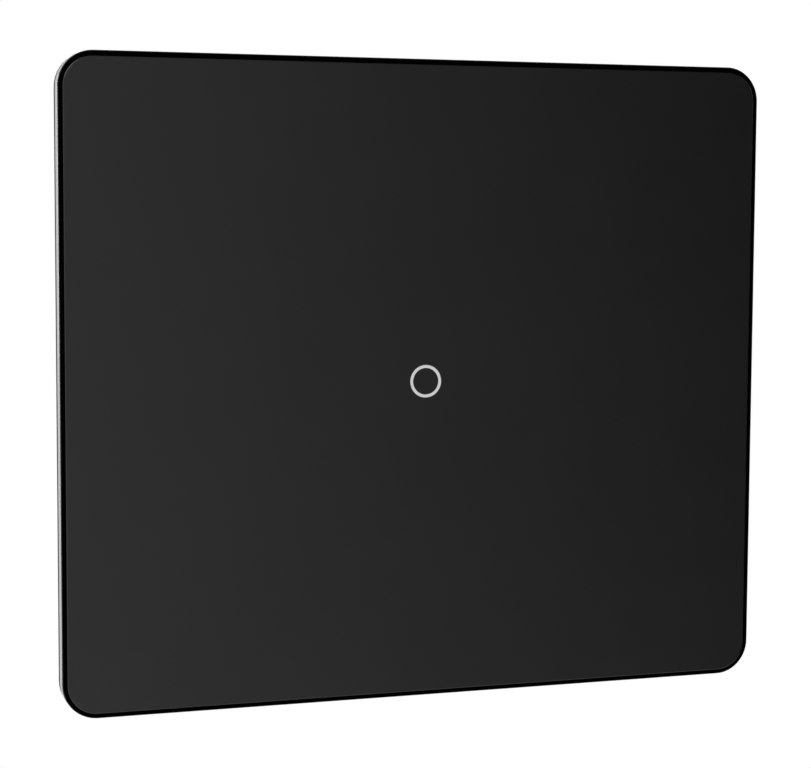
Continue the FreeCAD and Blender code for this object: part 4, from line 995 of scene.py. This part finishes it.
TERMINALS = 4
ROUNDED = {
    "panel_carrier": 0.15,
    "panel_magnets": 0.2,
    "guide_pins": 0.3,
    "support_frame": 0.12,
    "front_cover": 0.15,
    "rear_housing": 0.2,
    "cover_screws": 0.1,
    "pairing_button": 0.12,
    "terminal_block": 0.18,
    "radio_shield": 0.15,
    "relay_case": 0.25,
    "relay_base": 0.15,
    "relay_yoke": 0.1,
    "relay_armature": 0.08,
    "rectifier": 0.15,
    "touch_chips": 0.1,
    "transformer_core": 0.15,
    "surge_disc": 0.5,
    "terminal_bars": 0.1,
    "header_socket": 0.1,
    "pairing_switch": 0.12,
    "touch_board": 0.08,
    "main_board": 0.08,
    "radio_board": 0.08,
    "board_spacers": 0.15,
}
for number in range(1, TERMINALS + 1):
    ROUNDED["terminal_clamp_%d" % number] = 0.12
    ROUNDED["terminal_screw_%d" % number] = 0.15

for node in frame["nodes"]:
    dress(node)
glass_panel()
ring_mark()
metal_rim()
capacitors("bulk_capacitor")
capacitors("small_capacitors")
chip_capacitors("touch_parts")
header()
wound_choke()
relay_coil()
light_tube()
indicator()
leads_and_solder()
for node, width in ROUNDED.items():
    round_off(node, width)


# Camera, from the panel's corners in the photograph

LENS = 93.98
CAMERA_PLACE = (-0.094509, -0.281682, 0.024442)
HEADING, TILT, ROLL = -18.565, 4.919, 0.309


def make_camera():
    """A camera at the photograph's place, with its heading, downward tilt and roll in degrees."""
    data = bpy.data.cameras.new("camera")
    data.lens = LENS
    camera = bpy.data.objects.new("camera", data)
    bpy.context.scene.collection.objects.link(camera)
    turn = Matrix.Rotation(math.radians(HEADING), 4, "Z")
    nod = Matrix.Rotation(math.radians(90 - TILT), 4, "X")
    lean = Matrix.Rotation(math.radians(ROLL), 4, "Z")
    camera.matrix_world = Matrix.Translation(CAMERA_PLACE) @ turn @ nod @ lean
    bpy.context.scene.camera = camera


# Floor, studio and lamps, in metres

FLOOR_RADIUS = 0.45
FLOOR_LEVEL = -0.22
# the floor's own light, which only the camera sees
FLOOR_GLOW = 0.3


def make_floor():
    """A round pale floor below the switch. What the camera sees of it is white, but for the shadow."""
    bm = bmesh.new()
    bmesh.ops.create_circle(bm, cap_ends=True, segments=96, radius=FLOOR_RADIUS)
    mesh = bpy.data.meshes.new("floor")
    bm.to_mesh(mesh)
    bm.free()
    floor = bpy.data.objects.new("floor", mesh)
    floor.location = (0, 0, FLOOR_LEVEL)
    bpy.context.scene.collection.objects.link(floor)
    shader = Shader("floor")
    camera_ray = shader.node("ShaderNodeLightPath").outputs["Is Camera Ray"]
    glow = shader.math("MULTIPLY", camera_ray, FLOOR_GLOW)
    shader.set(Base_Color=(0.86, 0.86, 0.86, 1), Roughness=0.9)
    shader.set(Emission_Color=(1, 1, 1, 1), Emission_Strength=glow)
    mesh.materials.append(LOOKS["floor"])


# place, width and power of the soft lamps, which all face the switch
LAMPS = {
    "key_lamp": ((-0.55, -0.75, 0.65), 0.6, 5.0),
    "fill_lamp": ((0.95, -0.12, 0.3), 0.5, 1.8),
    "back_lamp": ((0.5, 0.8, 0.6), 0.6, 3.6),
    "back_fill": ((-0.75, 0.5, 0.2), 0.5, 1.6),
}


def make_lamp(name, place, width, power):
    """A soft square lamp that faces the origin."""
    data = bpy.data.lights.new(name, "AREA")
    data.size = width
    data.energy = power
    lamp = bpy.data.objects.new(name, data)
    lamp.location = place
    lamp.rotation_euler = (-Vector(place)).to_track_quat("-Z", "Y").to_euler()
    bpy.context.scene.collection.objects.link(lamp)


# the studio in front darkens along a slope of the ray's direction, from its brightest to black
SLOPE_RIGHT, SLOPE_UP = 1.41, 0.30
BRIGHT_AT, BLACK_AT = -0.477, 0.723
BRIGHTEST = 1.2
# the wall behind begins beside the panel, and what isn't shiny sees it dimmer
WALL_START, WALL_FULL = -0.35, 0.05
WALL_DIM = 0.5


def make_world():
    """White all round; what faces the front reflects a studio that darkens smoothly to the right."""
    world = bpy.data.worlds.new("studio")
    world.use_nodes = True
    world.node_tree.nodes.clear()
    nodes = Nodes(world.node_tree)
    direction = nodes.node("ShaderNodeTexCoord").outputs["Generated"]
    ray = nodes.node("ShaderNodeSeparateXYZ", {0: direction}).outputs
    to_right = nodes.math("MULTIPLY", ray["X"], SLOPE_RIGHT)
    slope = nodes.math("ADD", to_right, nodes.math("MULTIPLY", ray["Z"], SLOPE_UP))
    studio = nodes.spread(slope, BRIGHTEST, 0.0, start=BRIGHT_AT, end=BLACK_AT)
    path = nodes.node("ShaderNodeLightPath").outputs
    shiny = nodes.math("MAXIMUM", path["Is Glossy Ray"], path["Is Transmission Ray"])
    wall = nodes.math("ADD", WALL_DIM, nodes.math("MULTIPLY", shiny, 1 - WALL_DIM))
    backward = nodes.spread(ray["Y"], 0.0, 1.0, start=WALL_START, end=WALL_FULL)
    behind = nodes.math("MULTIPLY", backward, wall)
    seen = nodes.math("MAXIMUM", nodes.math("MAXIMUM", studio, behind), path["Is Camera Ray"])
    background = nodes.node("ShaderNodeBackground", {"Color": (1, 1, 1, 1), "Strength": seen})
    nodes.node("ShaderNodeOutputWorld", {"Surface": background.outputs[0]})
    bpy.context.scene.world = world


make_camera()
make_floor()
make_world()
for name, (place, width, power) in LAMPS.items():
    make_lamp(name, place, width, power)
bpy.context.scene.view_settings.view_transform = "Standard"
